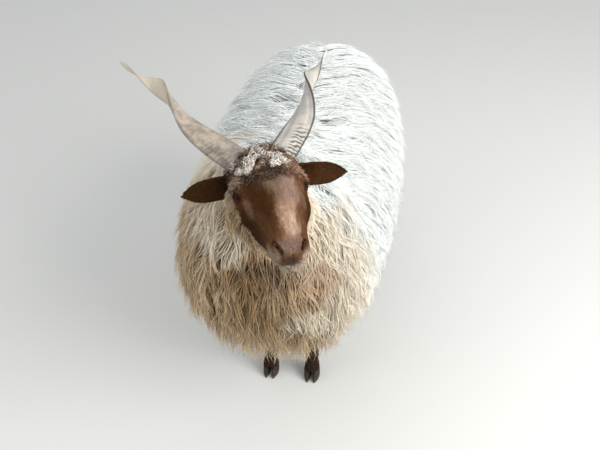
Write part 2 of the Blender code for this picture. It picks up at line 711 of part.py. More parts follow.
def ear_stub(side, finish, frame, grow=0.0):
    """The root of an ear on the skull, a short tapered block that ends flat against the ear."""
    rings, out, ahead, up = ear_rings(side, 4, 14)
    angle = np.linspace(0, 2 * math.pi, 12, endpoint=False)
    middle = Vector(rings[0].mean(axis=0))
    made = []
    for reach, size in ((EAR_STUB - GAP, 0.0165), (-0.024, 0.026)):
        centre = middle - out * EAR_STUB + out * reach
        wide, deep = size + grow, size * 0.8 + grow
        made.append([centre + up * wide * math.cos(a) + ahead * deep * math.sin(a) for a in angle])
    return loft("ear_stub", np.array(made), finish, frame)


def eye_out(side):
    """The way an eye looks from the head: sideways, a little ahead and up."""
    return Vector((side * 0.86, -0.40, 0.32)).normalized()


def eye_centre(side):
    return Vector((side * EYE_AT[0], EYE_AT[1], EYE_AT[2]))


def lid_opening(side, finish, frame):
    """The almond between the lids, as a cutter along the eye's line."""
    out = eye_out(side)
    along = Vector((0, -1, -0.25))
    along = (along - out * along.dot(out)).normalized()
    up = out.cross(along)
    half_length, half_height = EYE_OPENING
    angle = np.linspace(0, 2 * math.pi, 12, endpoint=False)
    rings = []
    for reach in (0.004, 0.040):
        centre = eye_centre(side) + out * reach
        ring = [
            centre + along * (half_length * math.cos(a)) + up * (half_height * math.sin(a) * abs(math.sin(a)) ** 0.3)
            for a in angle
        ]
        rings.append(ring)
    return loft("lid_opening", np.array(rings), finish, frame)


def mouth_cutter(finish, frame):
    """A thin flat slit between the lips, from the nose back to the corners of the mouth."""
    bm = bmesh.new()
    length = 0.27 - MOUTH_CORNER
    place = Matrix.Translation((0, -(MOUTH_CORNER + length / 2), MOUTH_LEVEL))
    bmesh.ops.create_cube(bm, size=1.0, matrix=place @ Matrix.Diagonal((0.12, length, MOUTH_GAP, 1.0)))
    return add_mesh("mouth_slit", bm, finish, frame)


def nostril_cutter(side, finish, frame):
    turn = Matrix.Rotation(side * math.radians(-38), 4, "Y") @ Matrix.Rotation(math.radians(20), 4, "X")
    place = (side * NOSTRIL_AT[0], *NOSTRIL_AT[1:])
    return ball("nostril", place, (0.0034, 0.010, 0.0062), finish, frame, turn, rings=6, segments=8)


def make_head(finish, frame):
    head = loft("head", head_rings(20, 22), finish, frame)
    orbit = (ORBIT_RADIUS,) * 3
    grown = [ball("orbit", eye_centre(s), orbit, finish, frame, rings=6, segments=9) for s in (-1, 1)]
    grown += [horn_stub(name, finish, frame) for name in ("left", "right")]
    grown += [ear_stub(side, finish, frame) for side in (-1, 1)]
    grown += poll_curls(finish, frame)
    combine(head, grown, "UNION")
    cutters = [mouth_cutter(finish, frame)]
    cutters += [horn_room(name, finish, frame) for name in ("left", "right")]
    for side in (-1, 1):
        socket = (EYE_RADIUS + GAP,) * 3
        cutters.append(ball("socket", eye_centre(side), socket, finish, frame, rings=7, segments=10))
        cutters.append(lid_opening(side, finish, frame))
        cutters.append(nostril_cutter(side, finish, frame))
    combine(head, cutters, "DIFFERENCE")
    return head


def tail_rings(count, around, grow=0.0):
    """Oval rings square to the tail's line, from its root down to the tip of its wool."""
    rows = through(TAIL_STATIONS, np.linspace(0, len(TAIL_STATIONS) - 1, count))
    angle = np.linspace(0, 2 * math.pi, around, endpoint=False)
    slopes = np.gradient(rows[:, :2], axis=0)
    slopes /= np.linalg.norm(slopes, axis=1, keepdims=True)
    depth = (rows[:, 3:4] + grow) * np.sin(angle)
    rings = np.empty((count, around, 3))
    rings[:, :, 0] = (rows[:, 2:3] + grow) * np.cos(angle)
    rings[:, :, 1] = rows[:, 0:1] - slopes[:, 1:2] * depth
    rings[:, :, 2] = rows[:, 1:2] + slopes[:, 0:1] * depth
    rings[0, :, 1:] -= slopes[0] * grow
    return rings


def tail_stub(finish, root):
    """The dock of the tail in the rump, flat where the tail meets it."""
    rings = tail_rings(11, 12)
    along = unit(rings[1].mean(axis=0) - rings[0].mean(axis=0))
    inner = rings[0] - np.array((0, TAIL_SUNK, 0)) - along * GAP
    return loft("dock", np.array([inner, rings[0] - along * GAP]), finish, root)


def tail_room(finish, root):
    """The space that the tail and its locks hang in, a little wider than they are behind and at the sides."""
    rows = through(TAIL_STATIONS, np.linspace(0, len(TAIL_STATIONS) - 1, 9))
    spread = np.minimum(np.linspace(0, 8, 9), 1.0)[:, None]
    angle = np.linspace(0, 2 * math.pi, 16, endpoint=False)
    ahead = (rows[:, 3:4] + GAP + TAIL_ROOM[1] * spread) * np.minimum(np.sin(angle), 0)
    behind = (rows[:, 3:4] + GAP + TAIL_ROOM[2] * spread) * np.maximum(np.sin(angle), 0)
    rings = np.empty((9, 16, 3))
    rings[:, :, 0] = (rows[:, 2:3] + GAP + TAIL_ROOM[0] * spread) * np.cos(angle)
    rings[:, :, 1] = rows[:, 0:1] + ahead + behind
    rings[:, :, 2] = rows[:, 1:2]
    rings[0] = tail_rings(11, 16, GAP)[0]
    rings[-1, :, 2] -= 0.040
    return loft("tail_room", rings, finish, root)


def tail_locks(rng, finish, root):
    """Locks down the back and both sides of the tail, which swing out and hang."""
    rows = through(TAIL_STATIONS, np.linspace(0, len(TAIL_STATIONS) - 1, 41))
    share = np.linspace(0, 1, LOCK_STEPS + 1)
    lines, outs = [], []
    for place, reach, length in TAIL_ROWS:
        y, z, half_width, half_depth = rows[int(place * 40)]
        for degrees in TAIL_LOCK_ANGLES:
            jitter = rng.uniform(-1, 1, 2)
            angle = math.radians(degrees + 7 * jitter[0])
            out = unit(np.array((math.cos(angle), math.sin(angle) * 0.8 + 0.1, 0.25)))
            start = np.array((half_width * math.cos(angle), y + half_depth * math.sin(angle), z)) - out * 0.012
            swing = out[None] * (reach + 0.012) * np.sin(math.pi * np.minimum(share, 0.62))[:, None]
            hang = np.array((0, 0, -1)) * (length * (1 + 0.1 * jitter[1])) * share[:, None]
            lines.append(start + swing + hang)
            outs.append(np.repeat(out[None], LOCK_STEPS + 1, axis=0))
    count = len(lines)
    widths = TAIL_LOCK_WIDTH * rng.uniform(0.85, 1.1, count)
    sections, tips = lock_sections(np.array(lines), np.array(outs), widths, rng.uniform(0, 1, count), 0.6)
    return [loft("lock", rings, finish, root, tip) for rings, tip in zip(sections, tips)]


def make_tail(rng, finish, root):
    tail = loft("tail", tail_rings(11, 12), finish, root)
    combine(tail, tail_locks(rng, finish, root), "UNION")


def make_torso(rng, finish, root):
    torso = loft("torso", core_rings(NECK_BASE, BODY_END, 12, 18), finish, root)
    roots = torso_roots(rng)
    count = len(roots)
    lengths = LOCK_LENGTH * rng.uniform(0.88, 1.12, count)
    widths = LOCK_WIDTH * rng.uniform(0.85, 1.1, count)
    waves = rng.uniform(0, 1, count)
    grown = add_locks(roots, lengths, widths, waves, torso_fall, ring_plane(NECK_BASE), 1, finish, root)
    for side in (-1, 1):
        grown.append(make_upper_leg(FORELEG_STATIONS, FORELEG_AT, side, 0.42, finish, root))
        grown.append(make_upper_leg(HINDLEG_STATIONS, HINDLEG_AT, side, 0.45, finish, root))
    grown.append(tail_stub(finish, root))
    combine(torso, grown, "UNION")
    room = [tail_room(finish, root)]
    for side in (-1, 1):
        room.append(leg_room(FORELEG_STATIONS, FORELEG_AT, side, finish, root))
        room.append(leg_room(HINDLEG_STATIONS, HINDLEG_AT, side, finish, root))
    combine(torso, room, "DIFFERENCE")


def make_neck(rng, finish, root, frame):
    neck = loft("neck", core_rings(0, NECK_BASE, 7, 18), finish, root)
    roots = neck_roots(rng)
    count = len(roots)
    low = fleece_slopes(roots[:, 0], roots[:, 1], np.zeros(count))[2][:, 2]
    lengths = LOCK_LENGTH * rng.uniform(0.9, 1.1, count) * np.clip(0.62 + 0.3 * roots[:, 0], 0, 1)
    lengths *= 1 + 0.45 * np.clip(low, -0.6, 0)
    widths = LOCK_WIDTH * rng.uniform(0.85, 1.1, count) * np.clip(0.75 + 0.2 * roots[:, 0], 0, 1)
    waves = rng.uniform(0, 1, count)
    combine(neck, add_locks(roots, lengths, widths, waves, neck_fall, ring_plane(NECK_BASE), -1, finish, root), "UNION")
    room = [horn_room(name, finish, frame) for name in ("left", "right")]
    room += [horn_stub(name, finish, frame, 2 * GAP) for name in ("left", "right")]
    room.append(loft("head_room", head_rings(20, 22, GAP), finish, frame))
    room += [ear_stub(side, finish, frame, 2 * GAP) for side in (-1, 1)]
    room += [ear_room(side, finish, frame) for side in (-1, 1)]
    room += poll_curls(finish, frame, 3 * GAP)
    combine(neck, room, "DIFFERENCE")


def make_sheep():
    root = add_empty("racka_sheep", Matrix.Translation(STAND_AT))
    frame = add_empty("head_frame", head_matrix(), root)
    fleece = finish_of("fleece", FLEECE_COLOUR, 0.95)
    face = finish_of("face", FACE_COLOUR, 0.85)
    ear = finish_of("ear", EAR_COLOUR, 0.85)
    leg = finish_of("leg", LEG_COLOUR, 0.85)
    horn = finish_of("horn", HORN_COLOUR, 0.5)
    claw = finish_of("claw", CLAW_COLOUR, 0.45)
    eye = finish_of("eye", EYE_COLOUR, 0.08)

    make_torso(np.random.default_rng(29), fleece, root)
    make_neck(np.random.default_rng(21), fleece, root, frame)
    make_head(face, frame)
    make_tail(np.random.default_rng(14), fleece, root)

    for side_name, side in (("left", 1), ("right", -1)):
        loft("horn_" + side_name, horn_rings(side_name, HORN_STUB, HORN_RINGS), horn, frame)
        loft("ear_" + side_name, ear_rings(side, 8, 14)[0], ear, frame)
        ball("eye_" + side_name, eye_centre(side), (EYE_RADIUS,) * 3, eye, frame, rings=7, segments=10)
        for leg_name, stations, at in (
            ("foreleg", FORELEG_STATIONS, FORELEG_AT),
            ("hindleg", HINDLEG_STATIONS, HINDLEG_AT),
        ):
            make_leg(f"{leg_name}_{side_name}", stations, at, side, leg, root)
            foot_x, foot_y = foot_centre(stations, at, side)
            for way in (-1, 1):
                place = "outer" if way == side else "inner"
                make_claw(f"claw_{leg_name}_{side_name}_{place}", foot_x, foot_y, way, claw, root)


clear_scene()
make_sheep()
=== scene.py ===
"""The looks of a racka ewe, life size: skin, fleece, curls, short fur, horns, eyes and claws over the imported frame.

Every length is in metres, in the frame's own axes: the sheep faces -Y, her left side is +X, and she stands on z = 0.
"""

import itertools
import math

import bpy
import numpy as np
from bpy.props import FloatProperty, FloatVectorProperty, IntProperty, PointerProperty
from mathutils import Matrix, Vector


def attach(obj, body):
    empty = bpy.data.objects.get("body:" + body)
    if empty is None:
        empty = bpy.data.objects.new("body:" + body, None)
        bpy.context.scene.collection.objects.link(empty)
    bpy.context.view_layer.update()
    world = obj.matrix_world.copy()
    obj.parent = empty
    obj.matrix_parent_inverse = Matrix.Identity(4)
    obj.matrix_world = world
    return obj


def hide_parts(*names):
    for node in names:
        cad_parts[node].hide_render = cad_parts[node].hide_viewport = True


bl_info = {
    "name": "Racka sheep",
    "version": (1, 0, 0),
    "blender": (4, 5, 0),
    "location": "View3D > Sidebar > Racka sheep",
    "description": "Skin, fleece, curls, short fur, horns, eyes and claws of a life-size racka ewe",
    "category": "Object",
}

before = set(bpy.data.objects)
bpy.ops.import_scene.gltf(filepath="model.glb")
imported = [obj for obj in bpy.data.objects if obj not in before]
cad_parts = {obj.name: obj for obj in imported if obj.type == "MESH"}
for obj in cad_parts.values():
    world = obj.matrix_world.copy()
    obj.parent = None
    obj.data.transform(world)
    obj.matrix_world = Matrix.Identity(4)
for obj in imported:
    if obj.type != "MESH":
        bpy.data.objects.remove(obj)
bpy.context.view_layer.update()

FULL_TURN = 2 * math.pi
# The turn from strand to strand that fills a disc evenly.
GOLDEN_ANGLE = 2.39996
# Shift of the whole sheep, which centres her box over the origin.
STAND_AT = np.array((0.009, 0.048, 0.0))

# The head frame: its origin is the poll, -Y runs down the face to the nose, +Z leaves the forehead.
POLL = (0.024, -0.408, 0.829)
HEAD_TURN = math.radians(23.0)
HEAD_NOD = math.radians(-8.5)
# How far behind the poll the neck begins.
HEAD_BACK = 0.035

# Face stations: distance from the poll to the nose, top, bottom, half width, jaw narrowing.
FACE_STATIONS = (
    (-0.035, -0.012, -0.104, 0.05, 0.1),
    (0.0, 0.002, -0.122, 0.058, 0.2),
    (0.035, 0.008, -0.134, 0.063, 0.24),
    (0.072, 0.006, -0.133, 0.064, 0.26),
    (0.105, 0.001, -0.123, 0.059, 0.26),
    (0.138, -0.005, -0.111, 0.052, 0.22),
    (0.168, -0.01, -0.103, 0.044, 0.2),
    (0.196, -0.015, -0.1, 0.0375, 0.16),
    (0.219, -0.021, -0.099, 0.034, 0.12),
    (0.237, -0.03, -0.094, 0.0285, 0.08),
    (0.247, -0.042, -0.082, 0.015, 0.0),
)
FACE_FULLNESS = 2.5
# The station of the nose's end, where the rings lie closer.
NOSE_STATION = 9.2
NOSE_DOME = 0.0035
EYE_AT = (0.0505, -0.083, -0.028)
# Angle from the top of a ring at which an eye lies.
EYE_ANGLE = 1.13
EYE_WAY = (0.72, -0.54, 0.43)
EYE_SLANT = (-0.6, -1.0, 0.1)
EYE_RADIUS = 0.0135
EYE_SHARE = 0.985
EYE_SINK = 0.004
# Half length and half height of the opening between the lids.
EYE_OPENING = (0.0116, 0.0046)
LID_RADIUS = 0.0153
LID_SOFTNESS = 0.0016
LID_EDGE = (0.013, 0.0195)
# Folds above and below the eye: level, half length and depth.
LID_FOLDS = ((0.0092, 0.0165, 0.0013), (-0.0088, 0.0155, 0.0008))
NOSTRIL_AT = (0.0195, -0.2425, -0.0425)
NOSTRIL_SLANT = (0.42, 0.37, 0.83)
MOUTH_LEVEL = -0.07
MOUTH_CORNER = 0.185

# Swells and hollows of the face on each side: centre, radii and height.
FACE_FORMS = (
    ((0.061, -0.079, -0.016), (0.019, 0.024, 0.015), 0.0068),
    ((0.05, -0.1, -0.064), (0.02, 0.035, 0.018), 0.0038),
    ((0.021, -0.236, -0.044), (0.01, 0.014, 0.014), 0.0034),
    ((0.022, -0.224, -0.074), (0.016, 0.02, 0.009), 0.0022),
    ((0.012, -0.165, -0.006), (0.011, 0.06, 0.014), 0.0034),
    ((0.048, -0.128, -0.05), (0.012, 0.036, 0.007), 0.0036),
    ((0.043, -0.116, -0.033), (0.013, 0.017, 0.01), -0.0046),
    ((0.036, -0.172, -0.062), (0.016, 0.028, 0.018), -0.0042),
    ((0.031, -0.17, -0.022), (0.01, 0.045, 0.013), -0.0032),
    ((0.029, -0.212, -0.04), (0.012, 0.018, 0.014), -0.003),
    ((0.016, -0.232, -0.088), (0.012, 0.014, 0.01), 0.0015),
    ((0.034, -0.236, -0.086), (0.014, 0.034, 0.02), -0.007),
    ((0.04, -0.05, 0.004), (0.012, 0.022, 0.014), -0.0025),
)

# Ears and horns: where a size has two values, they are for the left side (1) and the right side (-1).
EAR_ROOT = (0.06, -0.021, -0.036)
EAR_LENGTH = {1: 0.1, -1: 0.093}
EAR_DROP = {1: -0.2, -1: -0.13}
EAR_WIDTH = 0.047
EAR_THICKNESS = 0.003

HORN_ROOT = (0.038, 0.01, -0.008)
HORN_RISE = math.radians(29.5)
HORN_SPREAD = {1: math.radians(31.5), -1: math.radians(32.0)}
HORN_LENGTH = {1: 0.288, -1: 0.351}
HORN_WIDTH = 0.05
HORN_THICKNESS = 0.028
HORN_PHASE = math.radians(37.0)
HORN_WINDING = 0.26
GROWTH_LINE = 0.0082

# Body stations from behind the head to the rump, as the surface through the tips of the fleece:
# top y, top z, bottom y, bottom z, half width, share of the head's turn, sideways shift,
# and the depth of the locks over the skin at the top, at the sides and underneath.
BODY_STATIONS = (
    (-0.312, 0.812, -0.452, 0.59, 0.138, 0.55, 0.012, 0.022, 0.04, 0.045),
    (-0.268, 0.768, -0.468, 0.43, 0.19, 0.2, 0.003, 0.026, 0.048, 0.065),
    (-0.23, 0.728, -0.395, 0.27, 0.228, 0.0, 0.0, 0.028, 0.05, 0.07),
    (-0.12, 0.716, -0.235, 0.228, 0.254, 0.0, 0.002, 0.028, 0.05, 0.07),
    (0.03, 0.706, -0.045, 0.215, 0.268, 0.0, 0.006, 0.028, 0.052, 0.07),
    (0.19, 0.714, 0.15, 0.22, 0.266, 0.0, 0.01, 0.028, 0.052, 0.07),
    (0.34, 0.716, 0.315, 0.25, 0.242, 0.0, 0.014, 0.028, 0.05, 0.07),
    (0.44, 0.684, 0.43, 0.32, 0.188, 0.0, 0.017, 0.028, 0.042, 0.065),
    (0.488, 0.608, 0.485, 0.43, 0.092, 0.0, 0.018, 0.034, 0.026, 0.06),
)
THROAT_HALF_WIDTH = 0.074
THROAT_TOP = 0.004
THROAT_BOTTOM = -0.124
THROAT_DEPTH = (0.01, 0.014, 0.014)
NECK_BASE = 3
BACK_FULLNESS = 2.2
SKIRT_FULLNESS = 2.7

# Leg stations from the top down: z, y from the leg's own line, x inwards, half width, half depth.
FORELEG_STATIONS = (
    (0.42, 0.0, -0.004, 0.04, 0.052),
    (0.3, 0.0, 0.0, 0.026, 0.034),
    (0.245, 0.0, 0.002, 0.022, 0.027),
    (0.205, -0.002, 0.004, 0.0205, 0.024),
    (0.18, -0.002, 0.005, 0.0195, 0.022),
    (0.15, 0.002, 0.006, 0.0145, 0.017),
    (0.112, 0.003, 0.007, 0.0135, 0.016),
    (0.084, 0.002, 0.008, 0.0165, 0.02),
    (0.062, -0.004, 0.008, 0.0155, 0.018),
    (0.034, -0.015, 0.008, 0.019, 0.0225),
)
HINDLEG_STATIONS = (
    (0.45, -0.04, -0.006, 0.05, 0.08),
    (0.33, -0.015, -0.002, 0.034, 0.056),
    (0.29, 0.005, 0.0, 0.027, 0.043),
    (0.25, 0.04, 0.003, 0.0195, 0.029),
    (0.226, 0.058, 0.004, 0.0185, 0.026),
    (0.2, 0.053, 0.005, 0.0185, 0.024),
    (0.16, 0.041, 0.006, 0.015, 0.0185),
    (0.112, 0.029, 0.007, 0.0145, 0.0175),
    (0.084, 0.023, 0.008, 0.017, 0.021),
    (0.062, 0.014, 0.008, 0.016, 0.019),
    (0.034, 0.002, 0.008, 0.019, 0.0225),
)
FORELEG_AT = (0.066, -0.216)
HINDLEG_AT = (0.1, 0.3)
LEGS = (("foreleg", FORELEG_STATIONS, FORELEG_AT), ("hindleg", HINDLEG_STATIONS, HINDLEG_AT))
SIDES = (("left", 1), ("right", -1))
FOOT_INWARDS = 0.008
DEW_CLAW_AT = (0.01, 0.03, 0.064)
DEW_CLAW_RADII = (0.009, 0.014, 0.012)
DEW_CLAW_SWELL = 0.008
CLAW_HEIGHT = 0.036
CLAW_LENGTH = 0.06
CLAW_HALF_WIDTH = 0.0125
CLAW_SPLAY = 0.0095

# Tail stations: y, z, half width, half depth.
TAIL_STATIONS = (
    (0.44, 0.625, 0.022, 0.016),
    (0.472, 0.592, 0.024, 0.016),
    (0.494, 0.556, 0.03, 0.018),
    (0.508, 0.5, 0.03, 0.018),
    (0.513, 0.43, 0.028, 0.018),
    (0.512, 0.36, 0.022, 0.014),
    (0.51, 0.3, 0.014, 0.01),
    (0.509, 0.262, 0.004, 0.004),
)

LOCK_STEPS = 20
LOCK_SHARE = np.linspace(0, 1, LOCK_STEPS + 1)[None, :, None]
LOCK_SUNK = 0.4
PIECE_LIMIT = 199000
TUFT_SUNK = 0.0006
CURL_SPACING = 0.0145
CHEEK_SPACING = 0.0085
CURL_STRANDS = 38
CURL_POINTS = 11
# Tufts of each piece, and places tried for the curls and the cheeks.
COUNTS = {
    "tail_wool": 190, "curl_tries": 1500, "brow_fringe": 1500, "cheek_tries": 3500,
    "face_fur": 4200, "ear_fur": 1100, "leg_fur": 1200,
}
# Rows and columns of each grid, and rings of the body.
GRIDS = {
    "head": (190, 200), "leg": (70, 40), "tail": (40, 32), "ear": (56, 64), "horn": (260, 72), "claw": (26, 40),
    "eye": (40, 64), "head_hair": (150, 160), "tail_wool": (60, 48), "ear_fur": (50, 60), "leg_fur": (80, 40),
}
BODY_RINGS = 70

# Puffs of pale curls on the poll: place aside and ahead of the poll, and radii.
PALE_PUFFS = (
    (-0.031, 0.046, 0.018, 0.017),
    (0.024, 0.044, 0.018, 0.017),
    (-0.01, 0.018, 0.018, 0.013),
    (0.012, 0.0, 0.016, 0.011),
)

# Fleece pieces: name, first and last place along the body, rings of a strand, and the frame's nodes that they
# stand for.
FLEECE_PIECES = (
    ("fleece_throat", 0.0, 1.75, 7, ("neck",)),
    ("fleece_breast", 1.75, 2.6, 7, ("neck",)),
    ("fleece_shoulders", 2.6, 3.5, 6, ("neck", "torso")),
    ("fleece_ribs", 3.5, 4.4, 5, ("torso",)),
    ("fleece_barrel", 4.4, 5.25, 5, ("torso",)),
    ("fleece_loin", 5.25, 6.15, 5, ("torso",)),
    ("fleece_hips", 6.15, 7.15, 5, ("torso",)),
    ("fleece_rump", 7.15, 9.01, 5, ("torso",)),
)

CAMERA_AT = (0.295, -1.292, 1.44)
CAMERA_YAW = math.radians(-12.0)
CAMERA_PITCH = math.radians(-38.6)
CAMERA_ROLL = math.radians(-3.6)
FLOOR_REACH = 12.0
# Lamps: name, place, aim, share of the key power, size and colour.
LAMPS = (
    ("key_light", (2.6, -1.3, 1.95), (0.0, 0.0, 0.5), 1.0, 2.2, (1.0, 0.985, 0.96)),
    ("side_light", (-2.4, -1.6, 1.6), (0.0, -0.2, 0.5), 0.16, 2.4, (0.98, 0.99, 1.0)),
)

# Markings of the head in its own frame, with some painted light, from the first painted to the last: both sides or
# only the place given, centre, size, colour and strength. A mark on both sides is mirrored through the folded side
# axis.
HEAD_MARKS_AND_LIGHT = (
    (True, (0.052, -0.15, -0.062), (0.042, 0.12, 0.052), (0.032, 0.01, 0.0018), 0.95),
    (True, (0.0, -0.09, 0.004), (0.046, 0.064, 0.03), (0.245, 0.162, 0.116), 0.8),
    # Her right side of the face, darker: painted shade of the side away from the key light, partly over darker fur.
    (False, (-0.03, -0.14, -0.008), (0.036, 0.11, 0.026), (0.052, 0.0175, 0.0038), 0.86),
    # Lighter down her left side of the forehead and the nose's ridge: a painted highlight on the lit side, over a paler
    # bridge.
    (False, (0.026, -0.14, -0.006), (0.028, 0.095, 0.024), (0.32, 0.212, 0.16), 0.78),
    (False, (0.008, -0.198, -0.018), (0.023, 0.095, 0.028), (0.39, 0.24, 0.158), 0.94),
    (False, (0.01, -0.218, -0.021), (0.014, 0.046, 0.018), (0.52, 0.36, 0.26), 0.7),
    (False, (0.028, -0.195, -0.024), (0.01, 0.05, 0.014), (0.125, 0.06, 0.03), 0.85),
    (True, (0.046, -0.136, -0.026), (0.01, 0.046, 0.016), (0.17, 0.095, 0.058), 0.75),
    (True, (0.051, -0.07, -0.012), (0.012, 0.018, 0.008), (0.3, 0.21, 0.15), 0.75),
    (True, (0.0535, -0.0885, -0.0265), (0.0175, 0.0185, 0.013), (0.02, 0.008, 0.003), 0.96),
    (True, (0.0, -0.238, -0.092), (0.056, 0.056, 0.036), (0.34, 0.265, 0.2), 0.96),
    (False, (-0.027, -0.234, -0.064), (0.019, 0.032, 0.027), (0.245, 0.185, 0.13), 0.93),
    (False, (0.024, -0.232, -0.074), (0.018, 0.04, 0.03), (0.33, 0.26, 0.205), 0.92),
    (False, (-0.004, -0.25, -0.064), (0.021, 0.02, 0.012), (0.045, 0.026, 0.017), 0.92),
    (True, (0.0, -0.244, -0.04), (0.027, 0.03, 0.02), (0.205, 0.13, 0.096), 0.95),
    # Three dark spots down each nostril's slit: painted shade in the nostrils.
    (True, (0.0222, -0.24, -0.0365), (0.005, 0.0075, 0.0062), (0.02, 0.009, 0.006), 0.97),
    (True, (0.0195, -0.2425, -0.0425), (0.005, 0.0075, 0.0062), (0.008, 0.004, 0.003), 0.98),
    (True, (0.0155, -0.246, -0.0495), (0.0048, 0.0075, 0.006), (0.016, 0.008, 0.005), 0.97),
)

# Patches of the breast's wool, some of them painted shade, in the frame's axes: centre, size, colour and strength.
FLEECE_MARKS_AND_SHADE = (
    ((-0.125, -0.4, 0.56), (0.085, 0.13, 0.15), (0.56, 0.41, 0.255), 0.65),
    # The next two, dark under the chin, are painted shade under the head.
    ((0.015, -0.41, 0.56), (0.115, 0.1, 0.055), (0.2, 0.118, 0.056), 0.65),
    ((0.024, -0.405, 0.588), (0.075, 0.08, 0.046), (0.13, 0.092, 0.054), 0.78),
    ((-0.085, -0.385, 0.672), (0.11, 0.12, 0.095), (0.92, 0.79, 0.62), 0.85),
    ((-0.05, -0.405, 0.632), (0.07, 0.08, 0.052), (0.72, 0.65, 0.52), 0.8),
    ((0.096, -0.405, 0.507), (0.05, 0.08, 0.05), (0.46, 0.33, 0.2), 0.6),
    ((0.138, -0.39, 0.422), (0.1, 0.12, 0.085), (0.9, 0.8, 0.64), 0.88),
    ((0.135, -0.385, 0.542), (0.062, 0.08, 0.06), (0.6, 0.4, 0.25), 0.75),
)

# Spots with a part of their own in the colours: centre and size. The first two are in the frame's axes, the others
# in the head frame.
NAPE = ((0.06, -0.3, 0.79), (0.19, 0.15, 0.15))
# The breast under the head and neck, darkened as painted shade.
SHADE_UNDER_HEAD = ((0.035, -0.43, 0.5), (0.17, 0.2, 0.19))
CHIN = ((0.012, -0.236, -0.084), (0.04, 0.04, 0.03))
BARE_NOSE = ((0.0, -0.248, -0.046), (0.024, 0.02, 0.02))
BLACK = (0.0, 0.0, 0.0)


def length_setting(name, description, default):
    return FloatProperty(name=name, description=description, default=default, unit="LENGTH")


def colour_setting(name, description, default):
    return FloatVectorProperty(name=name, description=description, default=default, subtype="COLOR", size=3)


class FleeceSizes(bpy.types.PropertyGroup):
    """Sizes of the long wool."""

    lock_spacing: length_setting("Lock spacing", "Distance between the roots of the locks", 0.0225)
    lock_length: length_setting("Lock length", "Length of a lock on the flank", 0.175)
    lock_width: length_setting("Lock width", "Width of a lock a third of the way down", 0.029)
    strands: IntProperty(name="Strands", description="Strands in each lock", default=10, min=3, max=30)
    strand_width: length_setting("Strand width", "Width of one strand of wool", 0.0027)
    curl: length_setting("Curl", "Radius of the curl in the tips of the locks", 0.0056)
    seed: IntProperty(name="Seed", description="Seed of the wool's random draws", default=7)


class CoatColours(bpy.types.PropertyGroup):
    """Colours of wool, fur, horn and claw."""

    back: colour_setting("Back", "Wool on the back and flanks", (0.905, 0.935, 0.912))
    breast: colour_setting("Breast", "Wool on the neck and breast", (0.335, 0.205, 0.092))
    face: colour_setting("Face", "Short fur of the face", (0.112, 0.046, 0.018))
    ear: colour_setting("Ear", "Fur of the ears", (0.048, 0.02, 0.0065))
    leg: colour_setting("Leg", "Fur of the legs", (0.028, 0.015, 0.01))
    horn: colour_setting("Horn", "Broad faces of the horns", (0.4, 0.34, 0.265))
    claw: colour_setting("Claw", "Horn of the claws", (0.018, 0.013, 0.01))


class StageSettings(bpy.types.PropertyGroup):
    """Floor, light and camera."""

    floor: colour_setting("Floor", "Colour of the floor", (0.62, 0.62, 0.6))
    key_power: FloatProperty(name="Key power", description="Power of the large light", default=138.0, unit="POWER")
    fill: FloatProperty(name="Fill", description="Strength of the even light from all round", default=0.8, min=0.0)
    lens: FloatProperty(
        name="Lens", description="Focal length on a sensor 36 mm wide", default=38.2, subtype="DISTANCE_CAMERA"
    )


def through(rows, at):
    """Points of the smooth curve that passes row i at the parameter i: cubic pieces with centred slopes at the rows."""
    rows = np.asarray(rows, float)
    at = np.clip(np.asarray(at, float), 0, len(rows) - 1)
    slope = np.gradient(rows, axis=0)
    low = np.minimum(at.astype(int), len(rows) - 2)
    t = (at - low)[..., None]
    start = rows[low] * (2 * t**3 - 3 * t**2 + 1) + slope[low] * (t**3 - 2 * t**2 + t)
    end = rows[low + 1] * (3 * t**2 - 2 * t**3) + slope[low + 1] * (t**3 - t**2)
    return start + end


def unit(vectors):
    return vectors / np.maximum(np.linalg.norm(vectors, axis=-1, keepdims=True), 1e-12)


def dot(a, b):
    return np.sum(a * b, axis=-1, keepdims=True)


def eased(low, high, value):
    """0 below low, 1 above high, and a smooth cubic step between."""
    t = np.clip((value - low) / (high - low), 0, 1)
    return t * t * (3 - 2 * t)


def bell(value, width=1.0):
    """1 at 0 and less the farther from it: exp(-(value / width)^2)."""
    return np.exp(-((value / width) ** 2))


def circle(count):
    """Even angles round a full turn."""
    return np.linspace(0, FULL_TURN, count, endpoint=False)


def mirrored(place, side):
    """A place or way given for the left side (1), or its mirror image on the right side (-1)."""
    return np.array((side * place[0], place[1], place[2]))


def rounded(angle, upper, lower):
    """Up and side shares of a superellipse: a fullness of 2 is an ellipse, and a larger one is squarer."""
    up, side = np.cos(angle), np.sin(angle)
    power = 2.0 / np.where(up > 0, upper, lower)
    return np.sign(up) * np.abs(up) ** power, np.sign(side) * np.abs(side) ** power


def spread(count, low, high, places, width, gain):
    """Values from low to high that crowd round some places: the inverse of the running sum of a density."""
    fine = np.linspace(low, high, 4000)
    density = np.ones_like(fine)
    for place in places:
        density += gain * bell(fine - place, width)
    total = np.concatenate([[0], np.cumsum((density[1:] + density[:-1]) / 2)])
    return np.interp(np.linspace(0, total[-1], count), total, fine)


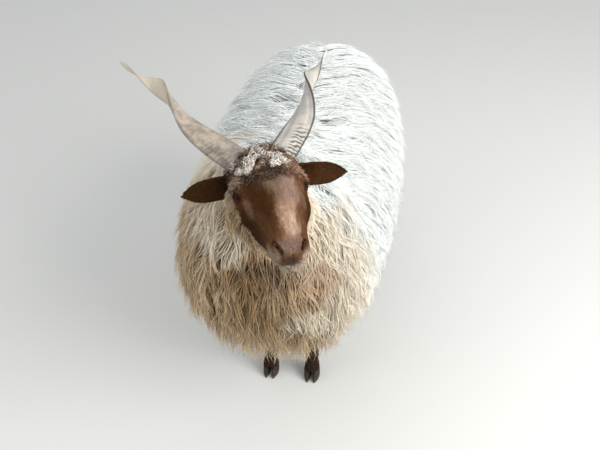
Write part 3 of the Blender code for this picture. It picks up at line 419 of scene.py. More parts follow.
def build_mesh(name, points, faces, values=None, uv=None):
    """A smooth object from arrays of points and of triangles or quads, with point attributes and a UV per corner."""
    mesh = bpy.data.meshes.new(name)
    corners = np.concatenate([f.ravel() for f in faces]).astype(np.int32)
    sizes = np.concatenate([np.full(len(f), f.shape[1]) for f in faces])
    starts = np.concatenate([[0], np.cumsum(sizes)[:-1]]).astype(np.int32)
    mesh.vertices.add(len(points))
    mesh.vertices.foreach_set("co", np.ascontiguousarray(points, np.float32).ravel())
    mesh.loops.add(len(corners))
    mesh.loops.foreach_set("vertex_index", corners)
    mesh.polygons.add(len(starts))
    mesh.polygons.foreach_set("loop_start", starts)
    mesh.update(calc_edges=True)
    mesh.shade_smooth()
    for key, value in (values or {}).items():
        attribute = mesh.attributes.new(key, "FLOAT", "POINT")
        attribute.data.foreach_set("value", np.ascontiguousarray(value, np.float32).ravel())
    if uv is not None:
        layer = mesh.uv_layers.new(name="OFBake")
        layer.uv.foreach_set("vector", np.ascontiguousarray(uv[corners], np.float32).ravel())
    made = bpy.data.objects.new(name, mesh)
    bpy.context.scene.collection.objects.link(made)
    return made


def closed_grid(grid, poles=None):
    """Points and faces of a grid closed round, with a fan to a pole at each end, facing outwards.

    Where no poles are given, they are the middles of the first and the last ring.
    """
    rows, around = grid.shape[:2]
    if poles is None:
        poles = (grid[0].mean(axis=0), grid[-1].mean(axis=0))
    points = np.concatenate([grid.reshape(-1, 3), np.asarray(poles).reshape(2, 3)])
    index = np.arange(rows * around).reshape(rows, around)
    low, high = index[:-1], index[1:]
    quads = np.stack([low, high, np.roll(high, -1, 1), np.roll(low, -1, 1)], axis=-1).reshape(-1, 4)
    first = np.stack([index[0], np.roll(index[0], -1), np.full(around, rows * around)], axis=1)
    end = np.stack([np.roll(index[-1], -1), index[-1], np.full(around, rows * around + 1)], axis=1)
    corner = points[quads]
    normal = np.cross(corner[:, 1] - corner[:, 0], corner[:, 2] - corner[:, 0])
    ring_centre = grid.mean(axis=1)
    middle = np.repeat((ring_centre[:-1] + ring_centre[1:]) / 2, around, axis=0)
    if np.sum(normal * (corner.mean(axis=1) - middle)) < 0:
        quads, first, end = quads[:, ::-1], first[:, ::-1], end[:, ::-1]
    return points, [quads, np.concatenate([first, end])]


def finished(thing, slot, material, *nodes):
    """Gives a piece its material, lets it ride on the root and stand for its nodes. The slot is not used."""
    thing.data.materials.clear()
    thing.data.materials.append(material_of(material))
    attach(thing, "root")
    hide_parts(*nodes)


HEAD_MATRIX = Matrix.Translation(POLL) @ (Matrix.Rotation(HEAD_TURN, 4, "Z") @ Matrix.Rotation(HEAD_NOD, 4, "X"))
HEAD = np.array(HEAD_MATRIX)


def from_head(points):
    """Points of the head frame in the frame's axes."""
    return points @ HEAD[:3, :3].T + HEAD[:3, 3] + STAND_AT


def way_from_head(ways):
    return ways @ HEAD[:3, :3].T


def body_frames():
    """Top point, bottom point and side vector of each ring, for the tips of the fleece and for the skin."""
    top, bottom = (np.array(HEAD_MATRIX @ Vector((0, HEAD_BACK, z))) for z in (THROAT_TOP, THROAT_BOTTOM))
    side = np.array(HEAD_MATRIX.to_3x3() @ Vector((1, 0, 0)))
    rows = [(top, bottom, side, THROAT_HALF_WIDTH, THROAT_DEPTH)]
    for top_y, top_z, bottom_y, bottom_z, half_width, share, shift, *depth in BODY_STATIONS:
        turn = HEAD_TURN * share
        side = np.array((math.cos(turn), math.sin(turn), 0.0))
        rows.append((np.array((shift, top_y, top_z)), np.array((shift, bottom_y, bottom_z)), side, half_width, depth))
    tips, core = [], []
    for top, bottom, side, half_width, depth in rows:
        top, bottom = top + STAND_AT, bottom + STAND_AT
        down = unit(bottom - top)
        tips.append(np.concatenate([top, bottom, side * half_width]))
        drawn_in = [top + down * depth[0], bottom - down * depth[2], side * (half_width - depth[1])]
        core.append(np.concatenate(drawn_in))
    return np.array(tips), np.array(core)


TIP_FRAMES, CORE_FRAMES = body_frames()
BODY_END = len(TIP_FRAMES) - 1


def fleece_point(s, angle, rise):
    """Points at ring s and an angle from the spine: superellipse rings that mix the skin (rise 0) and the tips (1)."""
    core, tips = through(CORE_FRAMES, s), through(TIP_FRAMES, s)
    ring = core + (tips - core) * np.asarray(rise)[..., None]
    top, bottom, side = ring[..., 0:3], ring[..., 3:6], ring[..., 6:9]
    up_share, side_share = rounded(angle, BACK_FULLNESS, SKIRT_FULLNESS)
    centre, up = (top + bottom) / 2, (top - bottom) / 2
    return centre + up * up_share[..., None] + side * side_share[..., None]


def fleece_slopes(s, angle, rise):
    """How a fleece point moves along s and along the angle, and the outward normal there, by small differences."""
    small = 0.01
    low, high = np.clip(s - small, 0, BODY_END), np.clip(s + small, 0, BODY_END)
    along = (fleece_point(high, angle, rise) - fleece_point(low, angle, rise)) / (high - low)[..., None]
    round_ = (fleece_point(s, angle + small, rise) - fleece_point(s, angle - small, rise)) / (2 * small)
    return along, round_, unit(np.cross(round_, along))


def bulge(points, normals, centre, radii, amount):
    """Moves points along their normals near a place, fading as a bell curve."""
    distance = np.linalg.norm((points - centre) / radii, axis=-1, keepdims=True)
    return points + normals * amount * bell(distance)


def grid_normals(grid):
    """Outward normals of a grid closed round its columns: the cross product of its two slopes."""
    round_ = np.roll(grid, -1, 1) - np.roll(grid, 1, 1)
    along = np.gradient(grid, axis=0)
    normal = unit(np.cross(along, round_))
    outward = grid - grid.mean(axis=1, keepdims=True)
    return normal * np.sign(np.sum(normal * outward))


def eye_axes(side):
    """Centre of an eye, the way it looks, and the long and the short way of its opening, in the head frame."""
    out, along = unit(mirrored(EYE_WAY, side)), mirrored(EYE_SLANT, side)
    along = unit(along - out * np.dot(along, out))
    up = np.cross(out, along)
    return mirrored(EYE_AT, side), out, along, up * np.sign(up[2])


def with_lids(points, side):
    """Draws the skin over the eyeball as two lids: a shell just outside the ball, cut by an almond that sinks inside.

    Round the almond runs a thin rim, and above and below it a fold.
    """
    centre, out, along, up = eye_axes(side)
    local = points - centre
    a, b, o = local @ along, local @ up, local @ out
    from_axis = np.sqrt(a * a + b * b)
    shell = np.sqrt(np.maximum(LID_RADIUS**2 - from_axis**2, 0))
    raised = LID_SOFTNESS * np.logaddexp(o / LID_SOFTNESS, shell / LID_SOFTNESS)
    near = (1 - eased(*LID_EDGE, from_axis)) * eased(-0.004, 0.004, o)
    height = o + (raised - o) * near
    half_length, half_height = EYE_OPENING
    tapering = np.clip(1 - (a / half_length) ** 2, 0.0005, 1)
    middle = 0.0006 - 0.0012 * (a / half_length)
    opening = np.abs(b - middle) / (half_height * tapering**0.75)
    ball = np.sqrt(np.maximum(EYE_RADIUS**2 - from_axis**2, 0)) - EYE_SINK
    inside = (1 - eased(0.88, 1.16, opening)) * near
    rim = 0.0007 * bell(opening - 1.38, 0.2) * near
    fold = 0
    for level, reach, depth in LID_FOLDS:
        line = level * np.sqrt(np.clip(1 - (a / reach) ** 2, 0, 1))
        fold = fold + depth * bell(b - line, 0.001)
    height = height + (rim - fold * near)
    height = height + (ball - height) * inside
    return points + out * (height - o)[..., None]


def mouth(x, ahead, z):
    """How far the skin moves out at the mouth: a groove with lips at one level, and the split of the upper lip."""
    from_line = z - MOUTH_LEVEL + 0.004 * np.clip((ahead - 0.225) / 0.02, 0, 1) * (1 - np.abs(x) / 0.03)
    reach = eased(MOUTH_CORNER - 0.004, MOUTH_CORNER + 0.01, ahead)
    groove = -0.0036 * bell(from_line, 0.0015) + 0.0013 * bell(np.abs(from_line) - 0.0052, 0.003)
    parting = -0.0018 * bell(x, 0.0012) * eased(0.238, 0.246, ahead) * eased(-0.072, -0.066, z)
    return groove * reach + parting * (1 - eased(-0.056, -0.05, z))


def with_nostril(amount, points, side):
    """Adds a nostril to how far the skin moves out: a slanting slit with a raised wing round it."""
    slit = unit(mirrored(NOSTRIL_SLANT, side))
    local = points - mirrored(NOSTRIL_AT, side)
    length = local @ slit
    apart = np.linalg.norm(local - slit * length[..., None], axis=-1)
    breadth = 0.0034 - 0.0008 * np.clip(length / 0.009, -1, 1)
    hole = np.abs(length / 0.009) ** 2.5 + (apart / breadth) ** 2.5
    wing = np.sqrt((length / 0.013) ** 2 + (apart / 0.0064) ** 2) - 1
    return amount - 0.0085 * np.exp(-hole) + 0.0013 * np.exp(-(wing**2) / 0.06)


def ring_angles(around):
    """Angles round a ring from the spine, closer together at the height of the eyes."""
    return spread(around + 1, -math.pi, math.pi, (-EYE_ANGLE, EYE_ANGLE), 0.27, 1.8)[:-1]


def head_grid(rows, around):
    """The head as rings from its back to the nose, in the head frame, and the point at the nose's end.

    Superellipse sections through the face stations, a dome over the nose, bell-shaped swells and hollows along the
    normals, then mouth, nostrils and lids.
    """
    eye = np.interp(-EYE_AT[1], [r[0] for r in FACE_STATIONS], np.arange(len(FACE_STATIONS)))
    at = spread(rows, 0, len(FACE_STATIONS) - 1, (eye, NOSE_STATION), 0.6, 2.2)
    ahead, top, bottom, half_width, jaw = through(FACE_STATIONS, at).T[..., None]
    up, side = rounded(ring_angles(around), FACE_FULLNESS, FACE_FULLNESS)
    grid = np.empty((rows, around, 3))
    grid[..., 0] = side * (half_width * (1 - jaw * np.clip(-up, 0, 1) ** 0.8))
    grid[..., 1] = -ahead
    grid[..., 2] = (top + bottom) / 2 + up * (top - bottom) / 2
    turn = np.linspace(0, math.pi / 2, 15)[1:-1, None, None]
    last = grid[-1]
    middle = last.mean(axis=0)
    dome = middle + (last - middle)[None] * np.cos(turn)
    dome[..., 1] -= NOSE_DOME * np.sin(turn[..., 0])
    grid = np.concatenate([grid, dome])
    normals = grid_normals(grid)
    for sign in (-1, 1):
        for centre, radii, amount in FACE_FORMS:
            grid = bulge(grid, normals, mirrored(centre, sign), np.array(radii), amount)
    normals = grid_normals(grid)
    amount = mouth(grid[..., 0], -grid[..., 1], grid[..., 2])
    for sign in (-1, 1):
        amount = with_nostril(amount, grid, sign)
    grid = grid + normals * amount[..., None]
    for sign in (-1, 1):
        grid = with_lids(grid, sign)
    return grid, grid[-1].mean(axis=0) - np.array((0, 0.0004, 0))


def leg_grid(stations, at, side, rows, around):
    """Elliptical rings down a leg through its stations, with tendon, dew claws and the cleft above the claws."""
    z, y, inwards, half_width, half_depth = through(stations, np.linspace(0, len(stations) - 1, rows)).T[..., None]
    angle = circle(around)
    tendon = 1 + 0.1 * np.clip(np.sin(angle), 0, 1) ** 6 * eased(0.07, 0.1, z) * (1 - eased(0.16, 0.2, z))
    cleft = 1 - 0.16 * np.abs(np.sin(angle)) ** 8 * (1 - eased(0.04, 0.075, z))
    grid = np.empty((rows, around, 3))
    grid[..., 0] = side * (at[0] - inwards) + half_width * np.cos(angle)
    grid[..., 1] = at[1] + y + half_depth * np.sin(angle) * tendon * cleft
    grid[..., 2] = z
    for way in (-1, 1):
        aside, behind, height = DEW_CLAW_AT
        middle = (side * (at[0] - FOOT_INWARDS) + way * aside, at[1] + stations[-1][1] + behind, height)
        normals = unit(grid - grid.mean(axis=1, keepdims=True))
        grid = bulge(grid, normals, np.array(middle), np.array(DEW_CLAW_RADII), DEW_CLAW_SWELL)
    return grid + STAND_AT


def ear_grid(side, rows, around):
    """A leaf rolled into a cup, in the head frame: each section is a crescent that closes to a tube at the root.

    Returns the grid, the ear's tip and the way it points.
    """
    out = unit(np.array((side * math.cos(math.radians(8)), 0.16, EAR_DROP[side])))
    ahead = np.array((0.0, -1.0, 0.0))
    ahead = unit(ahead - out * np.dot(ahead, out))
    up = np.cross(out, ahead) * side
    up = up if up[2] > 0 else -up
    t = np.linspace(0, 1, rows)[:, None]
    along = 1 - (1 - t) ** 1.25
    width = EAR_WIDTH / 2 * (0.42 + 0.58 * np.sin(math.pi * np.minimum(1.0, 0.1 + along * 0.94)) ** 0.7)
    width = np.maximum(width * (1 - along**9 * 0.88), 0.0022)
    span = np.radians(118 - 78 * np.minimum(1.0, along * 2.2))
    radius = width / np.sin(np.minimum(span, math.pi / 2))
    inside = radius - EAR_THICKNESS * (1.3 - 0.7 * along)
    sweep = np.linspace(-1, 1, around // 2)[None] * span
    back = sweep[:, ::-1]
    frill = 0.001 * np.sin(sweep * 7 + along * 9) * np.abs(sweep / span) ** 3 * np.minimum(1, along * 3)
    outer = radius * (np.cos(span) - np.cos(sweep)) + frill
    inner = radius * np.cos(span) - inside * np.cos(back) + frill[:, ::-1]
    x = np.concatenate([radius * np.sin(sweep), inside * np.sin(back)], axis=1)[..., None]
    y = np.concatenate([outer, inner], axis=1)[..., None]
    root = mirrored(EAR_ROOT, side)
    centre = root + out * (-0.012 + (EAR_LENGTH[side] + 0.012) * along[..., None])
    tip = root + out * (EAR_LENGTH[side] + 0.0012) + ahead * (radius[-1, 0] * (np.cos(span[-1, 0]) - 1))
    return centre + up * x + ahead * y, tip, out


def tail_grid(rows, around):
    """Oval rings square to the tail's line, from its root down to the end of the dock's wool."""
    row = through(TAIL_STATIONS, np.linspace(0, len(TAIL_STATIONS) - 1, rows))
    angle = circle(around)
    slope = unit(np.gradient(row[:, :2], axis=0))
    depth = row[:, 3:4] * np.sin(angle)
    grid = np.empty((rows, around, 3))
    grid[..., 0] = row[:, 2:3] * np.cos(angle)
    grid[..., 1] = row[:, 0:1] - slope[:, 1:2] * depth
    grid[..., 2] = row[:, 1:2] + slope[:, 0:1] * depth
    return grid + STAND_AT


def horn_grid(side, rows, around):
    """A keeled, flattened section that shrinks and turns about the horn's line, which it winds round.

    The section is an ellipse drawn out to two keels, and rings of growth swell it, close together near the root.
    Returns the grid in the head frame, the distance along the horn, and the cosine and sine round the section.
    """
    length, level = HORN_LENGTH[side], math.cos(HORN_SPREAD[side])
    axis = np.array((side * math.sin(HORN_SPREAD[side]), level * math.cos(HORN_RISE), level * math.sin(HORN_RISE)))
    inward = unit(np.cross((0, 0, side), axis))
    upward = np.cross(axis, inward) * side
    t = np.linspace(0, 1, rows)[:, None] ** 0.92
    angle = circle(around)[None]
    taper = 0.04 + 0.96 * (1 - t**2.4) ** 0.9
    turn = HORN_PHASE - FULL_TURN * t**2
    distance = t * length
    beat = distance / 0.0105 + 0.9 * np.sin(distance * 41 + side) + 0.14 * np.sin(angle * 2)
    ring = (0.5 + 0.5 * np.sin(FULL_TURN * beat)) ** 2 * (1 - eased(0.35, 0.9, t))
    lump = 0.5 * np.sin(distance * 173 + np.cos(angle) * 2) + 0.5 * np.sin(distance * 97 + 2 * side)
    swell = 1 + 0.03 * ring + 0.01 * lump * (1 - t)
    keel = np.abs(np.cos(angle))
    wide = HORN_WIDTH / 2 * taper
    thick = HORN_THICKNESS / 2 * (0.45 + 0.55 * (1 - t)) * taper
    flat_x = np.cos(angle) * wide * (0.8 + 0.2 * keel**6) * (1 + 0.4 * (swell - 1))
    flat_y = np.sin(angle) * thick * swell * (1 - 0.2 * bell(keel - 0.72, 0.14))
    winding = HORN_WINDING * HORN_WIDTH * taper * np.minimum(1.0, 3 * t)
    x = flat_x * np.cos(turn) - flat_y * np.sin(turn) - winding * np.cos(turn)
    y = flat_x * np.sin(turn) + flat_y * np.cos(turn) - winding * np.sin(turn)
    centre = mirrored(HORN_ROOT, side) + axis * (0.002 + (length - 0.002) * t[..., None])
    grid = centre + inward * x[..., None] + upward * y[..., None]
    along = np.repeat(distance, around, axis=1)
    return grid, along, np.repeat(np.cos(angle), rows, axis=0), np.repeat(np.sin(angle), rows, axis=0)


def claw_grid(foot_x, foot_y, way, rows, around):
    """One half of a cloven hoof: a wedge with a flat sole, pointed ahead, upright inside, with rings of growth."""
    angle = circle(around)[None]
    height = np.linspace(0, 1, rows)[:, None] * CLAW_HEIGHT
    levels = (0, 0.016, CLAW_HEIGHT)
    scale = np.interp(height, levels, (0.97, 0.94, 0.74)) * (1 - 0.05 * np.exp(-height / 0.0022))
    scale = scale * (1 + 0.006 * np.sin(FULL_TURN * height / 0.0058))
    pinch = 1 - 0.55 * np.clip(np.cos(angle), 0, 1) ** 2
    x = np.sin(angle) * CLAW_HALF_WIDTH * pinch * scale / 0.97
    grid = np.empty((rows, around, 3))
    grid[..., 0] = foot_x + way * CLAW_SPLAY + np.where(x * way < 0, x * 0.62, x)
    back = foot_y - 0.004 + np.interp(height, levels, (0.0, 0.005, 0.013))
    grid[..., 1] = back - np.cos(angle) * CLAW_LENGTH / 2 * scale
    grid[..., 2] = height
    return grid + STAND_AT


def sheaf(lines, outs, widths, heights, tone, place, name):
    """One mesh of tapered blades: each follows its line, with a ridged triangle at every point but the last.

    The ridge stands along outs, the edges lie to both sides, and the last point is the blade's tip. The bake map
    gives each blade a patch 0.003 across at its root's place.
    """
    count, points = lines.shape[:2]
    rings = points - 1
    heading = unit(np.gradient(lines, axis=1))
    outs = unit(outs - heading * dot(outs, heading))
    across = np.cross(heading, outs)
    side = across[:, :-1] * widths[:, :-1, None] / 2
    centre = lines[:, :-1]
    body = np.stack([centre + side, centre + outs[:, :-1] * heights[:, :-1, None], centre - side], axis=2)
    verts = np.concatenate([body.reshape(count, rings * 3, 3), lines[:, -1:]], axis=1)
    per = rings * 3 + 1
    faces = [(0, 1, 2)]
    for k in range(rings - 1):
        for i in range(3):
            j = (i + 1) % 3
            low, high = 3 * k, 3 * k + 3
            faces += [(low + j, low + i, high + i), (low + j, high + i, high + j)]
    last = 3 * (rings - 1)
    faces += [(last + (i + 1) % 3, last + i, per - 1) for i in range(3)]
    faces = (np.array(faces)[None] + (np.arange(count) * per)[:, None, None]).reshape(-1, 3)
    share = np.concatenate([np.repeat(np.arange(rings), 3), [rings]]) / rings
    column = np.concatenate([np.tile((0.0, 0.5, 1.0), rings), [0.5]])
    patch = np.stack([column - 0.5, share - 0.5], axis=1) * 0.003
    uv = np.clip(place, 0.004, 0.996)[:, None] + patch[None]
    values = {"along": np.tile(share, count), "tone": np.repeat(tone, per)}
    return build_mesh(name, verts.reshape(-1, 3), [faces], values, uv.reshape(-1, 2))


def wool_roots(spacing, rng):
    """Rings of lock roots at even steps along the body, evenly spaced round each ring and then shifted at random."""
    fine = np.linspace(0.03, BODY_END - 0.06, 300)
    turn = circle(24)
    rings = fleece_point(fine[:, None] + 0 * turn, turn + 0 * fine[:, None], np.full((300, 24), 0.5))
    step = np.linalg.norm(np.diff(rings, axis=0), axis=2).max(axis=1)
    distance = np.concatenate([[0], np.cumsum(step)])
    rows = np.interp(np.arange(0, distance[-1], spacing * 0.92), distance, fine)
    roots = []
    for row, s in enumerate(rows):
        angle = np.linspace(-math.pi, math.pi, 361)
        ring = fleece_point(np.full(361, s), angle, np.full(361, 0.5))
        length = np.concatenate([[0], np.cumsum(np.linalg.norm(np.diff(ring, axis=0), axis=1))])
        count = max(8, int(round(length[-1] / spacing)))
        spot = (np.arange(count) + 0.5 * (row % 2) + rng.uniform(-0.38, 0.38, count)) * length[-1] / count
        angles = np.interp(np.mod(spot, length[-1]), length, angle)
        shift = rng.uniform(-0.4, 0.4, count) * (rows[1] - rows[0])
        roots.append(np.stack([np.clip(s + shift, 0.02, BODY_END - 0.03), angles], axis=1))
    return np.concatenate(roots)


def wool_fall(s, side, out):
    """The way the wool falls: apart from the spine, then down, back on the ribs and forward on the neck and breast."""
    up = np.clip(out[:, 2], 0, 1)
    chest = 1 - eased(NECK_BASE - 0.9, NECK_BASE + 1.3, s)
    neck = 1 - eased(0.6, 1.8, s)
    parted = (0.95 - 0.15 * chest) * side * up
    back = 0.2 * up * (1 - chest) - 0.3 * chest * (1 - 0.6 * neck)
    return unit(np.stack([parted, back, np.full(len(s), -1.0)], axis=1))


def lock_lines(roots, length, top, rng):
    """Centre lines and outward directions of locks down the fleece, and straight down where it turns under.

    A line starts at its root under the skin and follows the part of the fall that lies in the surface, while it
    rises to its own height between the skin and the tips.
    """
    s, angle = roots.T.copy()
    count = len(s)
    step = length / LOCK_STEPS
    side = np.sign(np.sin(angle + rng.normal(0, 0.2, count)))
    at_spine = bell(angle, 0.38)
    sunk = LOCK_SUNK * (1 - at_spine)
    lean = rng.normal(0, 0.22, count) + rng.normal(0, 0.24, count) * (1 - eased(2.6, 4.2, s))
    free = np.zeros(count, bool)
    points, outs = [], []
    heading = np.zeros((count, 3))
    for k in range(LOCK_STEPS + 1):
        share = k / LOCK_STEPS
        rise = top * np.minimum((1 + sunk) * share ** (0.8 - 0.35 * at_spine) - sunk, 1.0)
        along, around, out = fleece_slopes(s, angle, rise)
        on = fleece_point(s, angle, rise)
        fall = wool_fall(s, side, out)
        if k:
            on = np.where(free[:, None], points[-1] + heading * step[:, None], on)
            out = np.where(free[:, None], outs[-1], out)
        points.append(on)
        outs.append(out)
        flat = unit(fall - out * dot(fall, out))
        flat = unit(flat + np.cross(out, flat) * lean[:, None])
        heading = np.where(free[:, None], unit(heading * 1.6 + fall), flat)
        aa, ab, bb = dot(along, along)[:, 0], dot(along, around)[:, 0], dot(around, around)[:, 0]
        fa, fb = dot(flat, along)[:, 0], dot(flat, around)[:, 0]
        scale = step / np.maximum(aa * bb - ab * ab, 1e-9)
        ds, da = (fa * bb - fb * ab) * scale, (fb * aa - fa * ab) * scale
        free |= (out[:, 2] < -0.25) | (s + ds > BODY_END)
        s = np.where(free, s, np.clip(s + ds, 0, BODY_END))
        angle = np.where(free, angle, angle + da)
    return np.stack(points, axis=1), np.stack(outs, axis=1)


def strands_of(lines, outs, width, depth, curl, turns, tip, strand_width, strands, rings, rng):
    """Strands of each lock: they fill its oval section, draw together to its tip, share its curl and end unevenly.

    Each point is the lock's line at the strand's share, plus its place across and over the lock, which shrinks to
    the share of the width kept at the tip, plus a helix that widens to the tip. Returns the strands' lines, outward
    ways, widths and heights, then each strand's lock, and how far out it lies in the lock.
    """
    locks = len(lines)
    count = locks * strands
    own = np.repeat(np.arange(locks), strands)
    share = np.linspace(0, 1, rings + 1)[None] * rng.uniform(0.72, 1.0, count)[:, None]
    at = share * LOCK_STEPS
    low = np.minimum(at.astype(int), LOCK_STEPS - 1)
    part = (at - low)[..., None]
    pick = own[:, None]
    centre = lines[pick, low] * (1 - part) + lines[pick, low + 1] * part
    out = unit(outs[pick, low] * (1 - part) + outs[pick, low + 1] * part)
    heading = unit(np.gradient(centre, axis=1))
    out = unit(out - heading * dot(out, heading))
    across = np.cross(heading, out)
    far = np.sqrt((np.tile(np.arange(strands), locks) + 0.5) / strands)
    spin = np.tile(np.arange(strands) * GOLDEN_ANGLE, locks) + rng.uniform(0, FULL_TURN, locks)[own]
    place, over = far * np.cos(spin), far * np.sin(spin)
    gather = (0.62 + 0.38 * np.sin(math.pi * np.minimum(share / 0.6, 1))) * (1 - (1 - tip[own, None]) * share**1.8)
    beat = FULL_TURN * turns[own, None] * share + rng.uniform(0, FULL_TURN, locks)[own, None] + 0.5 * place[:, None]
    loose = np.where(rng.uniform(0, 1, count) < 0.14, 2.6, 1.0) * rng.normal(0, 1, count)
    stray = loose[:, None] * 0.0075 * share**1.6 * np.minimum(1, width[own] / 0.02)[:, None]
    bend = rng.uniform(0, FULL_TURN, locks)[own, None]
    sway = np.sin(FULL_TURN * 1.1 * share + bend) * 0.36 * width[own, None] * share
    radius = curl[own, None] * (0.25 + 0.75 * share)
    aside = place[:, None] * gather * width[own, None] / 2 + radius * np.cos(beat) + stray + sway
    lift = (over[:, None] + 0.25) * gather * depth[own, None] + 0.6 * radius * np.sin(beat)
    path = centre + across * aside[..., None] + out * (lift + 0.35 * np.abs(stray))[..., None]
    return (path, out, *strand_sizes(over, strand_width, rings, rng)), own, over


def strand_sizes(over, width, rings, rng):
    """Widths and ridge heights down each strand: drawn out to the tip, and broader for strands deep in the lock."""
    share = np.linspace(0, 1, rings + 1)[None]
    size = (0.65 + 0.35 * np.sin(math.pi * np.minimum(share * 1.6, 1))) * (1 - 0.65 * share**2.5)
    broad = rng.uniform(0.75, 1.25, len(over)) * (1 + 0.75 * eased(0.1, -0.5, over))
    widths = width * broad[:, None] * size
    return widths, widths * 0.42


class Nodes:
    """Adds nodes to a tree. Every input takes a number, a vector, a colour or another node's output."""

    def __init__(self, tree):
        self.tree = tree

    def put(self, socket, value):
        if isinstance(value, bpy.types.NodeSocket):
            self.tree.links.new(value, socket)
        else:
            socket.default_value = (*tuple(value)[:3], 1.0) if socket.type == "RGBA" else value

    def add(self, kind, inputs, **settings):
        """The outputs of a new node, whose inputs are given by name or number, or in their order."""
        made = self.tree.nodes.new("ShaderNode" + kind)
        for key, value in settings.items():
            setattr(made, key, value)
        for key, value in inputs.items() if isinstance(inputs, dict) else enumerate(inputs):
            self.put(made.inputs[key], value)
        return made.outputs

    def group(self, maker, **inputs):
        return self.add("Group", inputs, node_tree=group_of(maker))

    def place(self):
        return self.add("TexCoord", {})["Object"]

    def attribute(self, name):
        return self.add("Attribute", {}, attribute_name=name)["Fac"]

    def axes(self, vector):
        return self.add("SeparateXYZ", [vector])

    def combine(self, *values):
        return self.add("CombineXYZ", values)[0]

    def scaled(self, vector, scale):
        return self.add("Mapping", {"Vector": vector, "Scale": scale}, vector_type="POINT")[0]

    def in_head(self, vector):
        """Object coordinates turned into the head frame."""
        back = (Matrix.Translation(Vector(STAND_AT)) @ HEAD_MATRIX).inverted()
        inputs = {"Vector": vector, "Location": back.to_translation(), "Rotation": back.to_euler()}
        return self.add("Mapping", inputs, vector_type="POINT")[0]

    def vector(self, operation, *values):
        return self.add("VectorMath", values, operation=operation)

    def maths(self, operation, *values):
        return self.add("Math", values, operation=operation)[0]

    def times(self, first, second):
        return self.maths("MULTIPLY", first, second)

    def sum(self, total, *others):
        for value in others:
            total = self.maths("ADD", total, value)
        return total

    def swing(self, value, reach):
        """A value between 0 and 1, moved to lie about 0 and scaled to a reach."""
        return self.times(self.maths("SUBTRACT", value, 0.5), reach)

    def step(self, value, low, high, to_low=0.0, to_high=1.0):
        """A smooth step of a value from low to high."""
        return self.add("MapRange", (value, low, high, to_low, to_high), interpolation_type="SMOOTHSTEP")[0]

    def mix(self, factor, first, second, blend="MIX"):
        """A mix of two colours."""
        return self.add("Mix", {0: factor, 6: first, 7: second}, data_type="RGBA", blend_type=blend)[2]

    def noise(self, vector, scale, detail=3.0, roughness=0.55):
        inputs = {"Vector": vector, "Scale": scale, "Detail": detail, "Roughness": roughness}
        return self.add("TexNoise", inputs)["Fac"]

    def spot(self, vector, centre, size):
        return self.group(soft_spot, Vector=vector, Centre=centre, Size=size)["Mask"]

    def bump(self, height, distance, strength):
        return self.add("Bump", {"Height": height, "Distance": distance, "Strength": strength})["Normal"]


VECTOR, NUMBER, COLOUR = "NodeSocketVector", "NodeSocketFloat", "NodeSocketColor"
# Inputs and outputs of each node group.
SOCKETS = {
    "soft_spot": ({"Vector": VECTOR, "Centre": VECTOR, "Size": VECTOR}, {"Mask": NUMBER}),
    "fleece_colour_and_shade": (
        {"Vector": VECTOR, "Along": NUMBER, "Tone": NUMBER, "Back": COLOUR, "Breast": COLOUR},
        {"Color": COLOUR},
    ),
    "coat_markings_and_light": (
        {"Vector": VECTOR, "Face": COLOUR, "Ear": COLOUR, "Leg": COLOUR, "Body": COLOUR},
        {"Color": COLOUR, "Bare mask": NUMBER},
    ),
}


def group_of(maker):
    """The node group that a function fills, named after it and made once."""
    name = maker.__name__
    if name in bpy.data.node_groups:
        return bpy.data.node_groups[name]
    group = bpy.data.node_groups.new(name, "ShaderNodeTree")
    for way, sockets in zip(("INPUT", "OUTPUT"), SOCKETS[name]):
        for label, kind in sockets.items():
            group.interface.new_socket(label, in_out=way, socket_type=kind)
    source, result = group.nodes.new("NodeGroupInput"), group.nodes.new("NodeGroupOutput")
    for value, socket in zip(maker(Nodes(group), source.outputs), result.inputs):
        group.links.new(value, socket)
    return group


def material_of(maker):
    """The material that a function describes by the shader's inputs, named after it and made once."""
    name = maker.__name__
    if name in bpy.data.materials:
        return bpy.data.materials[name]
    material = bpy.data.materials.new(name)
    material.use_nodes = True
    nodes = Nodes(material.node_tree)
    shader = material.node_tree.nodes["Principled BSDF"]
    for label, value in maker(nodes, bpy.context.scene.racka_colours).items():
        nodes.put(shader.inputs[label], value)
    return material


def soft_spot(n, given):
    """A mask that is 1 at a centre and fades to 0 at the edge of an ellipsoid."""
    away = n.vector("SUBTRACT", given["Vector"], given["Centre"])[0]
    apart = n.vector("DIVIDE", away, given["Size"])[0]
    return (n.step(n.vector("LENGTH", apart)["Value"], 1.0, 0.35),)


